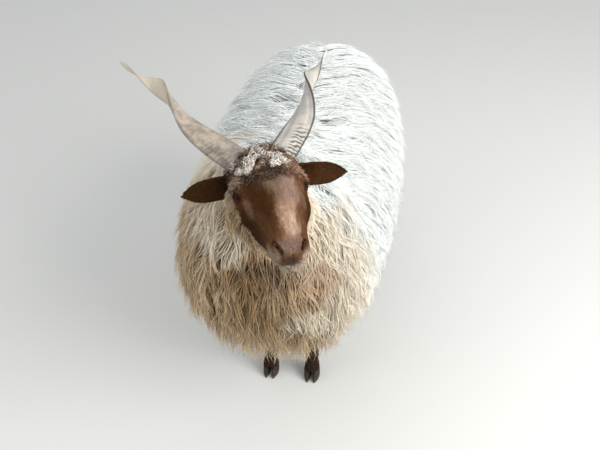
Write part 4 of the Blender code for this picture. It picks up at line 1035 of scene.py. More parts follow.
def fleece_colour_and_shade(n, given):
    """The wool's colour by place, by the share from root to tip and by the strand's own tone.

    A slanting, ragged line runs round the body: tan wool lies ahead of it, cream along it and white behind it. Under
    the head the breast is darkened as painted shade, most of all under the chin.
    """
    vector, along, tone = given["Vector"], given["Along"], given["Tone"]
    x, y, z = n.axes(vector)
    ragged = n.swing(n.noise(vector, 8.0), 0.26)
    line = n.sum(n.times(y, -1.0), n.times(z, -0.44), n.times(x, -0.75), ragged, n.swing(tone, 0.09))
    line = n.maths("SUBTRACT", line, n.times(n.spot(vector, *NAPE), 0.26))
    white = n.mix(n.step(along, 0.05, 0.6), (0.85, 0.87, 0.83), given["Back"])
    white = n.mix(n.times(tone, 0.6), white, (0.94, 0.97, 0.95))
    cream = n.mix(n.step(along, 0.1, 0.9), (0.7, 0.56, 0.38), (0.92, 0.81, 0.64))
    cream = n.mix(n.times(tone, 0.5), cream, (0.92, 0.84, 0.69))
    tan = n.mix(n.step(along, 0.1, 0.75), (0.22, 0.115, 0.045), given["Breast"])
    rust = n.mix(n.step(along, 0.1, 0.8), (0.17, 0.08, 0.032), (0.35, 0.195, 0.084))
    tan = n.mix(n.times(n.step(n.noise(vector, 9.0, 2.0), 0.44, 0.62), 0.65), tan, rust)
    tan = n.mix(n.step(tone, 0.5, 0.85, 0.0, 0.75), tan, (0.53, 0.4, 0.24))
    tan = n.mix(n.step(tone, 0.4, 0.15, 0.0, 0.45), tan, (0.22, 0.13, 0.058))
    tan = n.mix(n.times(n.step(along, 0.55, 1.0), 0.6), tan, (0.61, 0.47, 0.295))
    # Painted shade: the tan is darker on the breast under the head.
    deep = n.mix(1.0, tan, (0.42, 0.32, 0.22), "MULTIPLY")
    tan = n.mix(n.times(n.spot(vector, *SHADE_UNDER_HEAD), 0.5), tan, deep)
    shade = n.mix(n.step(line, -0.22, -0.05), white, cream)
    shade = n.mix(n.step(line, -0.07, 0.15), shade, tan)
    toned = n.mix(n.step(tone, 0.15, 0.85), (0.66, 0.62, 0.56), (1.18, 1.2, 1.22))
    waver = n.vector("ADD", vector, n.swing(n.noise(vector, 22.0), 0.11))[0]
    for centre, size, paint, strength in FLEECE_MARKS_AND_SHADE:
        paint = n.mix(1.0, paint, toned, "MULTIPLY")
        shade = n.mix(n.times(n.spot(waver, centre, size), strength), shade, paint)
    return (shade,)


def coat_markings_and_light(n, given):
    """The colour of skin and short fur by place, and a mask of the bare nose.

    The marks lie in the head frame, with edges made ragged by noise drawn out along the face. Some are painted light:
    her right side of the face is darker as painted shade, partly over darker fur, a painted highlight runs down the lit
    side of the nose's ridge, and the nostrils hold painted shade. Behind the head comes the wool's colour with its
    painted shade, and low down the legs' own.
    """
    vector = given["Vector"]
    in_head = n.in_head(vector)
    across, back, up = n.axes(in_head)
    aside = n.maths("ABSOLUTE", across)
    coarse = n.swing(n.noise(vector, 50.0), 0.01)
    fine = n.maths("SUBTRACT", n.noise(n.scaled(in_head, (1.0, 0.14, 1.0)), 260.0, 4.0, 0.65), 0.5)
    warp, back_warp = (n.sum(coarse, n.times(fine, reach)) for reach in (0.02, 0.045))
    folded, plain = (n.combine(n.sum(x, warp), n.sum(back, back_warp), up) for x in (aside, across))
    shade = given["Face"]
    for both, centre, size, paint, strength in HEAD_MARKS_AND_LIGHT:
        mask = n.spot(folded if both else plain, centre, size)
        shade = n.mix(n.times(mask, strength), shade, paint)
    specks = n.times(n.spot(folded, *CHIN), n.step(n.noise(vector, 120.0, 2.0), 0.52, 0.62))
    shade = n.mix(n.times(specks, 0.8), shade, (0.075, 0.045, 0.032))
    at_ear = n.times(n.step(aside, 0.06, 0.07), n.step(back, -0.07, -0.05))
    shade = n.mix(at_ear, shade, given["Ear"])
    shade = n.mix(n.step(back, 0.015, 0.045), shade, given["Body"])
    shade = n.mix(n.step(n.axes(vector)[2], 0.36, 0.28), shade, given["Leg"])
    return shade, n.spot(folded, *BARE_NOSE)


def short_coat(n, own):
    """Place of a point of skin or short fur, its colour with marks and painted light, and the mask of its bare nose."""
    vector = n.place()
    wool = n.group(fleece_colour_and_shade, Vector=vector, Along=0.25, Tone=0.2, Back=own.back, Breast=own.breast)["Color"]
    marks = n.group(coat_markings_and_light, Vector=vector, Body=wool, Face=own.face, Ear=own.ear, Leg=own.leg)
    return vector, marks["Color"], marks["Bare mask"]


def skin_and_short_fur(n, own):
    """Marked skin with painted light, fine hairs drawn out along the face, and pores on the nose."""
    vector, colour, bare = short_coat(n, own)
    drawn_out = n.scaled(n.in_head(vector), (1.0, 0.16, 1.0))
    hairs = n.noise(drawn_out, 560.0, 4.0, 0.65)
    bands = n.noise(drawn_out, 150.0, 3.0, 0.6)
    dark = n.mix(0.55, colour, BLACK)
    colour = n.mix(n.step(hairs, 0.4, 0.66, 0.0, 0.55), colour, dark)
    colour = n.mix(n.step(bands, 0.46, 0.62, 0.0, 0.42), colour, dark)
    colour = n.mix(n.step(bands, 0.44, 0.3, 0.0, 0.35), colour, n.mix(1.0, colour, colour, "SCREEN"))
    pores = n.add("TexVoronoi", {"Vector": vector, "Scale": 620.0})["Distance"]
    return {
        "Base Color": colour,
        "Normal": n.bump(n.mix(bare, hairs, pores), 0.002, 1.0),
        "Roughness": n.step(bare, 0.1, 0.8, 0.9, 0.55),
        "Specular IOR Level": 0.06,
    }


def short_fur(n, own):
    """The marked colour with its painted light, darker or lighter by each tuft's own tone."""
    colour, tone = short_coat(n, own)[1], n.attribute("tone")
    darker = n.mix(n.step(tone, 0.0, 0.6, 0.45, 0.0), colour, n.mix(0.55, colour, BLACK))
    lighter = n.mix(n.step(tone, 0.6, 1.0, 0.0, 0.35), darker, n.mix(0.5, colour, darker, "SCREEN"))
    return {"Base Color": lighter, "Roughness": 0.8, "Specular IOR Level": 0.06}


def fleece_wool(n, own):
    """Wool with fine fibres, which lets some light through, and painted shade under the head."""
    vector, along, tone = n.place(), n.attribute("along"), n.attribute("tone")
    wool = n.group(fleece_colour_and_shade, Vector=vector, Along=along, Tone=tone, Back=own.back, Breast=own.breast)["Color"]
    fibre = n.noise(vector, 900.0, 2.0)
    return {
        "Base Color": n.mix(n.step(fibre, 0.35, 0.75, 0.05, 0.0), wool, (0.3, 0.21, 0.12)),
        "Normal": n.bump(fibre, 0.0006, 0.5),
        "Roughness": n.step(tone, 0.0, 1.0, 0.78, 0.62),
        "Specular IOR Level": 0.2,
        "Subsurface Weight": 0.4,
        "Subsurface Radius": (1.0, 0.9, 0.8),
        "Subsurface Scale": 0.004,
    }


def poll_curls(n, own):
    """Curls with dark roots and tips from dark brown to cream by tone, rustier beside the left horn."""
    vector, along, tone = n.place(), n.attribute("along"), n.attribute("tone")
    root = n.mix(n.step(tone, 0.2, 0.8), (0.03, 0.016, 0.009), (0.24, 0.19, 0.14))
    tip = n.mix(n.step(tone, 0.05, 0.45), (0.075, 0.04, 0.022), (0.36, 0.262, 0.19))
    tip = n.mix(n.step(tone, 0.45, 0.8), tip, (0.86, 0.8, 0.72))
    rusty = n.times(n.step(n.axes(vector)[0], 0.08, 0.098), n.step(tone, 0.7, 0.45, 0.2, 0.85))
    tip = n.mix(rusty, tip, (0.3, 0.175, 0.115))
    colour = n.mix(n.step(along, 0.05, 0.6), root, tip)
    fibre = n.noise(vector, 800.0, 2.0)
    return {
        "Base Color": n.mix(n.step(fibre, 0.3, 0.7, 0.15, 0.0), colour, (0.1, 0.07, 0.05)),
        "Normal": n.bump(fibre, 0.0006, 0.5),
        "Roughness": 0.75,
        "Specular IOR Level": 0.18,
    }


def horn_keratin(n, own):
    """Pale horn with dark keels, slanting growth lines near the root, fine grain along it and a cream tip."""
    vector = n.place()
    along, keel, face = (n.attribute(name) for name in ("along", "keel", "face"))
    colour = n.mix(n.step(n.noise(vector, 45.0, 4.0, 0.6), 0.38, 0.62), (0.23, 0.195, 0.165), own.horn)
    colour = n.mix(n.step(along, 0.1, 0.3), colour, n.mix(0.6, colour, (0.7, 0.63, 0.48)))
    left = n.step(n.axes(vector)[0], 0.0, 0.07)
    colour = n.mix(n.times(left, 0.5), colour, (0.5, 0.5, 0.475))
    left = n.maths("MULTIPLY_ADD", left, 0.65, 0.35)
    wander = n.times(n.noise(n.combine(along, n.times(keel, 0.012), 0.0), 60.0, 2.0), 0.014)
    slant = n.sum(along, n.times(keel, 0.01), wander)
    beat = n.maths("SINE", n.times(slant, FULL_TURN / GROWTH_LINE))
    near_root = n.times(n.step(along, 0.09, 0.045), left)
    near_edge = n.step(keel, 0.2, -0.3, 0.1, 1.0)
    stripes = n.times(n.step(beat, -0.35, 0.3), n.times(near_root, near_edge))
    colour = n.mix(n.times(stripes, 0.85), colour, (0.045, 0.034, 0.032))
    grain = n.noise(n.combine(n.times(along, 60.0), n.times(keel, 9.0), n.times(face, 9.0)), 3.0, 5.0, 0.65)
    colour = n.mix(n.step(grain, 0.58, 0.75, 0.0, 0.45), colour, (0.2, 0.155, 0.125))
    edge = n.times(n.step(n.maths("ABSOLUTE", keel), 0.905, 0.975, 0.0, 0.92), left)
    return {
        "Base Color": n.mix(edge, colour, (0.03, 0.024, 0.022)),
        "Normal": n.bump(n.sum(n.times(beat, 0.1), grain), 0.0014, 0.7),
        "Roughness": n.step(grain, 0.3, 0.8, 0.48, 0.72),
    }


def eye_wet(n, own):
    """A dark amber iris with a level slot for a pupil, under a wet coat."""
    across, above = n.attribute("across"), n.attribute("above")
    both = n.combine(across, above, 0.0)
    iris = n.mix(n.noise(both, 9.0, 4.0, 0.7), (0.008, 0.004, 0.002), (0.04, 0.017, 0.006))
    colour = n.mix(n.step(n.vector("LENGTH", both)["Value"], 0.56, 0.7), iris, (0.01, 0.006, 0.005))
    wide, tall = (
        n.maths("POWER", n.maths("ABSOLUTE", n.maths("DIVIDE", value, half)), 2.0)
        for value, half in ((across, 0.42), (above, 0.15))
    )
    return {
        "Base Color": n.mix(n.step(n.sum(wide, tall), 1.15, 0.85), colour, (0.002, 0.002, 0.002)),
        "Roughness": 0.2,
        "Specular IOR Level": 0.05,
        "Coat Weight": 0.06,
        "Coat Roughness": 0.04,
    }


def claw_horn(n, own):
    """Dark horn with grain down the claw, worn paler at the sole."""
    vector = n.place()
    grain = n.noise(n.scaled(vector, (1.0, 1.0, 6.0)), 90.0, 4.0, 0.6)
    colour = n.mix(n.step(grain, 0.4, 0.7), own.claw, (0.055, 0.04, 0.028))
    worn = n.step(n.axes(vector)[2], 0.01, 0.001, 0.0, 0.6)
    return {
        "Base Color": n.mix(worn, colour, (0.1, 0.075, 0.055)),
        "Normal": n.bump(grain, 0.001, 0.6),
        "Roughness": n.step(grain, 0.3, 0.8, 0.5, 0.72),
        "Specular IOR Level": 0.25,
    }


def floor_plain(n, own):
    """The floor's colour under a faint cloud."""
    cloud = n.times(n.noise(n.place(), 2.0), 0.15)
    return {"Base Color": n.mix(cloud, bpy.context.scene.racka_stage.floor, (0.7, 0.7, 0.68)), "Roughness": 0.9}


def scatter(grid, count, rng, weight):
    """Random places on a grid closed round: cells drawn by their area and weight, and points by bilinear mixing.

    Returns the points, their normals, and their shares along the rows and columns.
    """
    rows, around = grid.shape[:2]
    after = np.roll(grid, -1, 1)
    area = np.linalg.norm(np.cross(grid[1:] - grid[:-1], (after - grid)[:-1]), axis=-1) * weight[:-1]
    cells = rng.choice(area.size, count, p=(area / area.sum()).ravel())
    row, column = np.divmod(cells, around)
    a, b = rng.uniform(0, 1, (2, count, 1))
    next_column = (column + 1) % around

    def blend(field):
        low = field[row, column] * (1 - b) + field[row, next_column] * b
        high = field[row + 1, column] * (1 - b) + field[row + 1, next_column] * b
        return low * (1 - a) + high * a

    shares = np.stack([(row + a[:, 0]) / rows, (column + b[:, 0]) / around], axis=1)
    return blend(grid), unit(blend(grid_normals(grid))), shares


def drawn(rng, count):
    """A short way to draw that many even random values between two limits."""
    return lambda low, high: rng.uniform(low, high, count)


def spaced(points, normals, distance):
    """Places and normals picked in turn so that none lies nearer than a distance to one picked before."""
    kept = [0]
    for k in range(1, len(points)):
        if np.linalg.norm(points[kept] - points[k], axis=1).min() > distance:
            kept.append(k)
    return points[kept], normals[kept]


def short_tufts(name, points, normals, ways, length, width, lift, tone, shares):
    """Short tufts: each runs from its root along its way, rises by a share of its length and settles at its tip."""
    share = np.array((0.0, 0.35, 0.7, 1.0))[None, :, None]
    ways = unit(ways - normals * dot(ways, normals))
    length = length[:, None, None]
    rise = length * lift[:, None, None] * share**0.7 - TUFT_SUNK
    lines = points[:, None] + ways[:, None] * length * share + normals[:, None] * rise
    widths = width[:, None] * np.array((0.7, 1.0, 0.75, 0.0))
    return sheaf(lines, np.repeat(normals[:, None], 4, axis=1), widths, widths * 0.4, tone, shares, name)


def head_tufts(name, points, normals, ways, *rest):
    """Short tufts whose places and ways are given in the head frame."""
    return short_tufts(name, from_head(points), way_from_head(normals), way_from_head(ways), *rest)


def join_all(thing, others):
    """Fuses closed meshes into one closed surface by one union, and removes them."""
    group = bpy.data.collections.new(thing.name + "_others")
    bpy.context.scene.collection.children.link(group)
    for other in others:
        bpy.context.scene.collection.objects.unlink(other)
        group.objects.link(other)
    union = thing.modifiers.new("Union", "BOOLEAN")
    union.operation = "UNION"
    union.operand_type = "COLLECTION"
    union.collection = group
    union.solver = "MANIFOLD"
    graph = bpy.context.evaluated_depsgraph_get()
    made = bpy.data.meshes.new_from_object(thing.evaluated_get(graph), depsgraph=graph)
    if len(made.polygons) <= len(thing.data.polygons):
        raise RuntimeError("the parts of the skin did not join")
    thing.modifiers.clear()
    thing.data = made
    made.shade_smooth()
    for other in others:
        bpy.data.objects.remove(other)
    bpy.data.collections.remove(group)


class RACKA_OT_skin(bpy.types.Operator):
    """Makes one skin over head, neck, body, ears, legs and tail."""

    bl_idname = "racka.skin"
    bl_label = "Make the skin"

    def execute(self, context):
        head, nose = head_grid(*GRIDS["head"])
        around = GRIDS["head"][1]
        angle, rise = ring_angles(around), np.zeros(around)
        body = np.array([fleece_point(np.full(around, s), angle, rise) for s in np.linspace(0.0, BODY_END, BODY_RINGS)])
        last = body[-1]
        middle = last.mean(axis=0)
        behind = np.array((0, 0.02, 0))
        cap = [middle + (last - middle) * c + behind * math.sqrt(1 - c * c) for c in (0.9, 0.7, 0.4)]
        grid = np.concatenate([from_head(head)[::-1], body, cap])
        skin = build_mesh("skin", *closed_grid(grid, (from_head(nose), middle + np.array((0, 0.0205, 0)))))
        legs = [leg_grid(stations, at, side, *GRIDS["leg"]) for _, stations, at in LEGS for side in (-1, 1)]
        parts = [closed_grid(grid) for grid in (*legs, tail_grid(*GRIDS["tail"]))]
        for side in (-1, 1):
            ear, tip, _ = ear_grid(side, *GRIDS["ear"])
            ear = from_head(ear)
            parts.append(closed_grid(ear, (ear[0].mean(axis=0), from_head(tip))))
        join_all(skin, [build_mesh("part", *part) for part in parts])
        nodes = [f"{part}_{side}" for part in ("ear", "foreleg", "hindleg") for side, _ in SIDES]
        finished(skin, "face", skin_and_short_fur, "torso", "neck", "head", "tail", *nodes)
        return {"FINISHED"}


class RACKA_OT_fleece(bpy.types.Operator):
    """Makes the long wool of neck, breast, back and flanks, in pieces along the body."""

    bl_idname = "racka.fleece"
    bl_label = "Make the fleece"

    def execute(self, context):
        sizes = context.scene.racka_fleece
        rng = np.random.default_rng(sizes.seed)
        roots = wool_roots(sizes.lock_spacing, rng)
        s, angle = roots.T
        down = fleece_slopes(s, angle, np.zeros(len(s)))[2][:, 2]
        under = eased(-0.35, -0.85, down)
        roots, s, angle, under = (v[down > -0.93] for v in (roots, s, angle, under))
        count = len(s)
        vary = drawn(rng, count)
        near_head = eased(0.0, 2.2, s)
        chest = 1 - eased(NECK_BASE - 0.6, NECK_BASE + 1.0, s)
        length = sizes.lock_length * (0.5 + 0.5 * near_head) * (0.74 + 0.08 * chest) * vary(0.75, 1.15)
        length = length * (1 - 0.45 * under) + under * (0.02 + 0.035 * chest)
        top = (1.06 - (0.15 + 0.3 * chest) * vary(0, 1)) * (1 - 0.15 * under)
        lines, outs = lock_lines(roots, length, top, rng)
        width = sizes.lock_width * (0.7 + 0.3 * near_head) * (1.1 - 0.3 * chest) * vary(0.8, 1.25)
        curl = sizes.curl * (0.5 + 0.6 * chest) * vary(0.6, 1.3)
        turns = vary(1.2, 2.2) * length / 0.15
        tip = 0.5 - 0.32 * chest
        depth = 0.0055 + 0.0055 * chest
        own_tone = vary(0, 1)
        turned = np.mod(angle / FULL_TURN + 0.5, 1.0)
        for name, first, last, rings, nodes in FLEECE_PIECES:
            chosen = (s >= first) & (s < last)
            triangles = chosen.sum() * sizes.strands * (6 * (rings - 1) + 4)
            if triangles > PIECE_LIMIT:
                raise RuntimeError(f"{name} has {triangles} triangles")
            shape = [v[chosen] for v in (lines, outs, width, depth, curl, turns, tip)]
            blades, own, over = strands_of(*shape, sizes.strand_width, sizes.strands, rings, rng)
            tone = np.clip(0.65 * own_tone[chosen][own] + 0.35 * rng.uniform(0, 1, len(own)) + 0.1 * over, 0, 1)
            place = np.stack([(s[chosen][own] - first) / (last - first), turned[chosen][own]], axis=1)
            finished(sheaf(*blades, tone, place, name), "fleece", fleece_wool, *nodes)
        return {"FINISHED"}


class RACKA_OT_tail_wool(bpy.types.Operator):
    """Makes the wool that hangs from the tail."""

    bl_idname = "racka.tail_wool"
    bl_label = "Make the tail's wool"

    def execute(self, context):
        sizes = context.scene.racka_fleece
        rng = np.random.default_rng(sizes.seed + 1)
        count, rows = COUNTS["tail_wool"], GRIDS["tail_wool"][0]
        vary = drawn(rng, count)
        grid = tail_grid(*GRIDS["tail_wool"])
        behind = grid[..., 1] - grid[..., 1].mean(axis=1, keepdims=True) > -0.004
        weight = behind * (np.linspace(0, 1, rows)[:, None] < 0.86)
        roots, normals, shares = scatter(grid, count, rng, weight)
        out = unit(normals * np.array((1.0, 0.8, 0.4)) + np.array((0, 0.1, 0.15)))
        reach = vary(0.01, 0.024)[:, None, None]
        length = (0.15 * vary(0.75, 1.1) * (1 - 0.25 * shares[:, 0]))[:, None, None]
        swing = out[:, None] * reach * np.sin(math.pi * np.minimum(LOCK_SHARE, 0.62))
        lines = roots[:, None] - out[:, None] * 0.006 + swing + np.array((0, 0, -1.0)) * length * LOCK_SHARE
        outs = np.repeat(out[:, None], LOCK_STEPS + 1, axis=1)
        width, curl, turns = sizes.lock_width * 0.9 * vary(0.8, 1.2), sizes.curl * vary(0.5, 1.1), vary(1.2, 2.2)
        depth, tip = np.full(count, 0.008), np.full(count, 0.3)
        blades, own, _ = strands_of(lines, outs, width, depth, curl, turns, tip, sizes.strand_width, 8, 6, rng)
        tone = 0.6 * vary(0, 1)[own] + 0.4 * rng.uniform(0, 1, len(own))
        finished(sheaf(*blades, tone, shares[own], "tail_wool"), "fleece", fleece_wool, "tail")
        return {"FINISHED"}


class RACKA_OT_poll_curls(bpy.types.Operator):
    """Makes the curls between the horns and the dark fringe over the brow."""

    bl_idname = "racka.poll_curls"
    bl_label = "Make the curls of the poll"

    def execute(self, context):
        rng = np.random.default_rng(11)
        head, _ = head_grid(*GRIDS["head_hair"])
        facing_up = eased(0.1, 0.7, grid_normals(head)[..., 2])
        curls, ways, *sizes = self.curls(head, facing_up, rng)
        piece = sheaf(from_head(curls), way_from_head(ways), *sizes, "poll_curls")
        finished(piece, "face", poll_curls, "head")
        finished(self.fringe(head, facing_up, rng), "face", poll_curls, "head")
        return {"FINISHED"}

    def curls(self, head, facing_up, rng):
        """Tufts that spread like fountains: each strand winds as a helix about its own way, which leans outwards."""
        ahead = -head[..., 1]
        weight = eased(-0.034, -0.02, ahead) * (1 - eased(0.056, 0.064, ahead)) * facing_up
        tufts, outs = spaced(*scatter(head, COUNTS["curl_tries"], rng, weight)[:2], CURL_SPACING)
        count = len(tufts)
        forward, aside = -tufts[:, 1], np.abs(tufts[:, 0])
        puffs = [np.hypot((tufts[:, 0] - x) / a, (forward - y) / b) for x, y, a, b in PALE_PUFFS]
        puff = np.exp(-(np.min(puffs, axis=0) ** 4))
        pale = np.where(rng.uniform(0, 1, count) < 0.06 + 0.9 * puff, 0.97, 0.4) - 0.25 * eased(0.04, 0.054, aside)
        height = (0.015 + 0.015 * (1 - eased(-0.01, 0.04, forward))) * (1 - 0.4 * eased(0.05, 0.064, forward))
        height = height * (1 - 0.25 * eased(0.03, 0.055, aside)) * (0.85 + 0.35 * puff) * rng.uniform(0.85, 1.2, count)
        own = np.repeat(np.arange(count), CURL_STRANDS)
        strands = len(own)
        first = unit(np.cross(outs, (0.3, 1.0, 0.1)))
        second = np.cross(outs, first)
        turn, reach = rng.uniform(0, FULL_TURN, strands), np.sqrt(rng.uniform(0, 1, strands))
        aside = first[own] * np.cos(turn)[:, None] + second[own] * np.sin(turn)[:, None]
        way = unit(outs[own] + aside * (1.25 * reach)[:, None] + np.array((0, -0.18, 0)))
        cross = unit(np.cross(way, rng.normal(0, 1, (strands, 3))))
        other = np.cross(way, cross)
        share = np.linspace(0, 1, CURL_POINTS)[None]
        spin = rng.uniform(0, FULL_TURN, (strands, 1)) + FULL_TURN * share * rng.uniform(1.3, 2.3, (strands, 1))
        radius = rng.uniform(0.0022, 0.0038, (strands, 1)) * np.sin(math.pi * (0.12 + 0.62 * share))
        ring = cross[:, None] * np.cos(spin)[..., None] + other[:, None] * np.sin(spin)[..., None]
        length = (height[own] * (1 - 0.3 * reach**2) * rng.uniform(0.8, 1.15, strands))[:, None]
        rise = way[:, None] * (length * (share - 0.22 * share**2) * 1.25 - 0.003)[..., None]
        lines = tufts[own, None] + (aside * (0.005 * reach)[:, None])[:, None] + rise + ring * radius[..., None]
        tone = np.clip(pale[own] - 0.3 * reach**3 + rng.normal(0, 0.1, strands), 0, 1)
        widths = 0.0026 * rng.uniform(0.75, 1.25, (strands, 1)) * (1 - 0.5 * share**2)
        place = np.stack([0.5 + 4 * lines[:, 0, 0], 0.5 + 4 * lines[:, 0, 1]], axis=1)
        return lines, unit(0.35 * way[:, None] + ring), widths, widths * 0.5, tone, place

    def fringe(self, head, facing_up, rng):
        """Tufts combed forwards over the brow, and aside and down over the temples."""
        ahead, side = -head[..., 1], np.abs(head[..., 0])
        temple = eased(0.034, 0.044, side) * eased(-0.02, -0.004, ahead) * (1 - eased(0.07, 0.082, ahead))
        temple = temple * eased(-0.034, -0.022, head[..., 2])
        slanted = ahead + 0.35 * np.abs(head[..., 0] + 0.006)
        brow = eased(0.048, 0.056, ahead) * (1 - eased(0.084, 0.104, slanted)) * facing_up
        for sign in (-1, 1):
            temple = temple * eased(0.0165, 0.0205, np.linalg.norm(head - eye_axes(sign)[0], axis=-1))
        count = COUNTS["brow_fringe"]
        vary = drawn(rng, count)
        points, out, shares = scatter(head, count, rng, np.maximum(brow, 0.9 * temple))
        low = eased(0.034, 0.046, np.abs(points[:, 0]))
        ways = np.stack([points[:, 0] * (2.5 + 12 * low), -1 + 1.3 * low, -0.6 * low], axis=1)
        ways = ways + rng.normal(0, 0.5, (count, 3))
        length, width, lift = vary(0.009, 0.017), vary(0.0013, 0.0023), vary(0.2, 0.55)
        tone = vary(0, 0.24) * (1 - low) + vary(0.08, 0.52) * low
        return head_tufts("brow_fringe", points, out, ways, length, width, lift, tone, shares)


class RACKA_OT_cheek_wool(bpy.types.Operator):
    """Makes the curly wool that lies over the back of the jaw."""

    bl_idname = "racka.cheek_wool"
    bl_label = "Make the wool of the cheeks"

    def execute(self, context):
        rng = np.random.default_rng(context.scene.racka_fleece.seed + 4)
        head, _ = head_grid(*GRIDS["head_hair"])
        ahead, z = -head[..., 1], head[..., 2]

        def limit(level):
            return np.clip(0.096 + 2.4 * (-level - 0.038), 0.09, 0.15)

        weight = eased(-0.034, -0.044, z) * (1 - eased(-0.006, 0.004, ahead - limit(z))) * eased(-0.03, 0.0, ahead)
        roots, out = spaced(*scatter(head, COUNTS["cheek_tries"], rng, weight)[:2], CHEEK_SPACING)
        count = len(roots)
        vary = drawn(rng, count)
        side = np.sign(roots[:, 0])
        inside = eased(0.0, 0.035, limit(roots[:, 2]) + roots[:, 1])
        fall = np.stack([0.15 * side, 0.15 + 0 * side, -1.0 + 0 * side], axis=1) + rng.normal(0, 0.3, (count, 3))
        fall = unit(fall - out * dot(fall, out))
        length = ((0.016 + 0.034 * inside) * vary(0.75, 1.2))[:, None, None]
        rise = length * (0.16 + 0.12 * inside[:, None, None]) * np.sin(math.pi * 0.8 * LOCK_SHARE) - 0.003
        lines = roots[:, None] + fall[:, None] * length * LOCK_SHARE + out[:, None] * rise
        outs = np.repeat(out[:, None], LOCK_STEPS + 1, axis=1)
        width, depth, curl, turns = vary(0.008, 0.013), vary(0.003, 0.005), vary(0.002, 0.0045), vary(1.0, 1.8)
        tip = np.full(count, 0.25)
        (path, ways, *sizes), own, _ = strands_of(lines, outs, width, depth, curl, turns, tip, 0.0017, 6, 6, rng)
        # Toward the wool's front edge by the face the tufts are darker: partly painted shade beside the jaw, partly
        # darker wool.
        tone = (0.4 * vary(0, 1)[own] + 0.6 * rng.uniform(0, 1, len(own))) * (0.35 + 0.65 * inside[own])
        place = np.stack([0.5 + 3 * roots[own, 1], 0.5 + 3 * roots[own, 2]], axis=1)
        piece = sheaf(from_head(path), way_from_head(ways), *sizes, tone, place, "cheek_wool")
        finished(piece, "fleece", fleece_wool, "head")
        return {"FINISHED"}


class RACKA_OT_short_fur(bpy.types.Operator):
    """Makes the short tufts of face, ears and legs."""

    bl_idname = "racka.short_fur"
    bl_label = "Make the short fur"

    def execute(self, context):
        rng = np.random.default_rng(5)
        finished(self.face(rng), "face", short_fur, "head")
        for name, sign in SIDES:
            finished(self.ear(name, sign, rng), "ear", short_fur, "ear_" + name)
            for leg, stations, at in LEGS:
                finished(self.leg(f"{leg}_fur_{name}", stations, at, sign, rng), "leg", short_fur, f"{leg}_{name}")
        return {"FINISHED"}

    def face(self, rng):
        """Tufts combed back over the face, longer and more upright behind, and none on the lids and the bare nose."""
        head, _ = head_grid(*GRIDS["head_hair"])
        ahead = -head[..., 1]
        weight = (0.4 + 0.6 * (1 - eased(0.1, 0.22, ahead))) * (1 - eased(0.226, 0.24, ahead))
        lids = [eased(0.014, 0.022, np.linalg.norm(head - eye_axes(sign)[0], axis=-1)) for sign in (-1, 1)]
        count = COUNTS["face_fur"]
        vary = drawn(rng, count)
        points, out, shares = scatter(head, count, rng, weight * (lids[0] * lids[1]))
        back = 1 - eased(0.02, 0.1, -points[:, 1])
        ways = np.stack([0.25 * np.sign(points[:, 0]) * (1 - back), np.full(count, 1.0), -0.35 - 0.9 * back], axis=1)
        ways = ways + rng.normal(0, 0.22, (count, 3))
        length = (0.0055 + 0.0095 * back) * vary(0.8, 1.3)
        width = (0.001 + 0.001 * back) * vary(0.8, 1.2)
        lift = (0.1 + 0.22 * back) * vary(0.5, 1.5)
        return head_tufts("face_fur", points, out, ways, length, width, lift, vary(0, 1), shares)

    def ear(self, name, sign, rng):
        """Tufts combed along the ear, nearly to its tip."""
        count = COUNTS["ear_fur"]
        ear, _, outward = ear_grid(sign, *GRIDS["ear_fur"])
        points, out, shares = scatter(ear, count, rng, np.linspace(0, 1, len(ear))[:, None] < 0.88)
        ways = outward[None] + rng.normal(0, 0.22, (count, 3))
        ranges = ((0.004, 0.007), (0.0007, 0.0013), (0.05, 0.16), (0, 1))
        return head_tufts("ear_fur_" + name, points, out, ways, *(rng.uniform(*r, count) for r in ranges), shares)

    def leg(self, name, stations, at, sign, rng):
        """Tufts combed down the leg, longer higher up."""
        count = COUNTS["leg_fur"]
        vary = drawn(rng, count)
        grid = leg_grid(stations, at, sign, *GRIDS["leg_fur"])
        points, out, shares = scatter(grid, count, rng, grid[..., 2] < 0.33)
        high = eased(0.12, 0.3, points[:, 2])
        ways = np.array((0, 0.1, -1.0))[None] + rng.normal(0, 0.18, (count, 3))
        length, width = (0.009 + 0.012 * high) * vary(0.8, 1.3), vary(0.0018, 0.003)
        lift = (0.08 + 0.12 * high) * vary(0.5, 1.5)
        return short_tufts(name, points, out, ways, length, width, lift, vary(0, 1), shares)


class RACKA_OT_horns(bpy.types.Operator):
    """Makes the two twisted horns."""

    bl_idname = "racka.horns"
    bl_label = "Make the horns"

    def execute(self, context):
        for name, side in SIDES:
            grid, along, keel, face = horn_grid(side, *GRIDS["horn"])
            points, faces = closed_grid(grid)
            values = {
                "along": np.concatenate([along.ravel(), (along[0, 0], along[-1, 0])]),
                "keel": np.concatenate([keel.ravel(), (0, 0)]),
                "face": np.concatenate([face.ravel(), (0, 0)]),
            }
            horn = build_mesh(f"horn_{name}_grown", from_head(points), faces, values)
            finished(horn, "horn", horn_keratin, "horn_" + name)
        return {"FINISHED"}


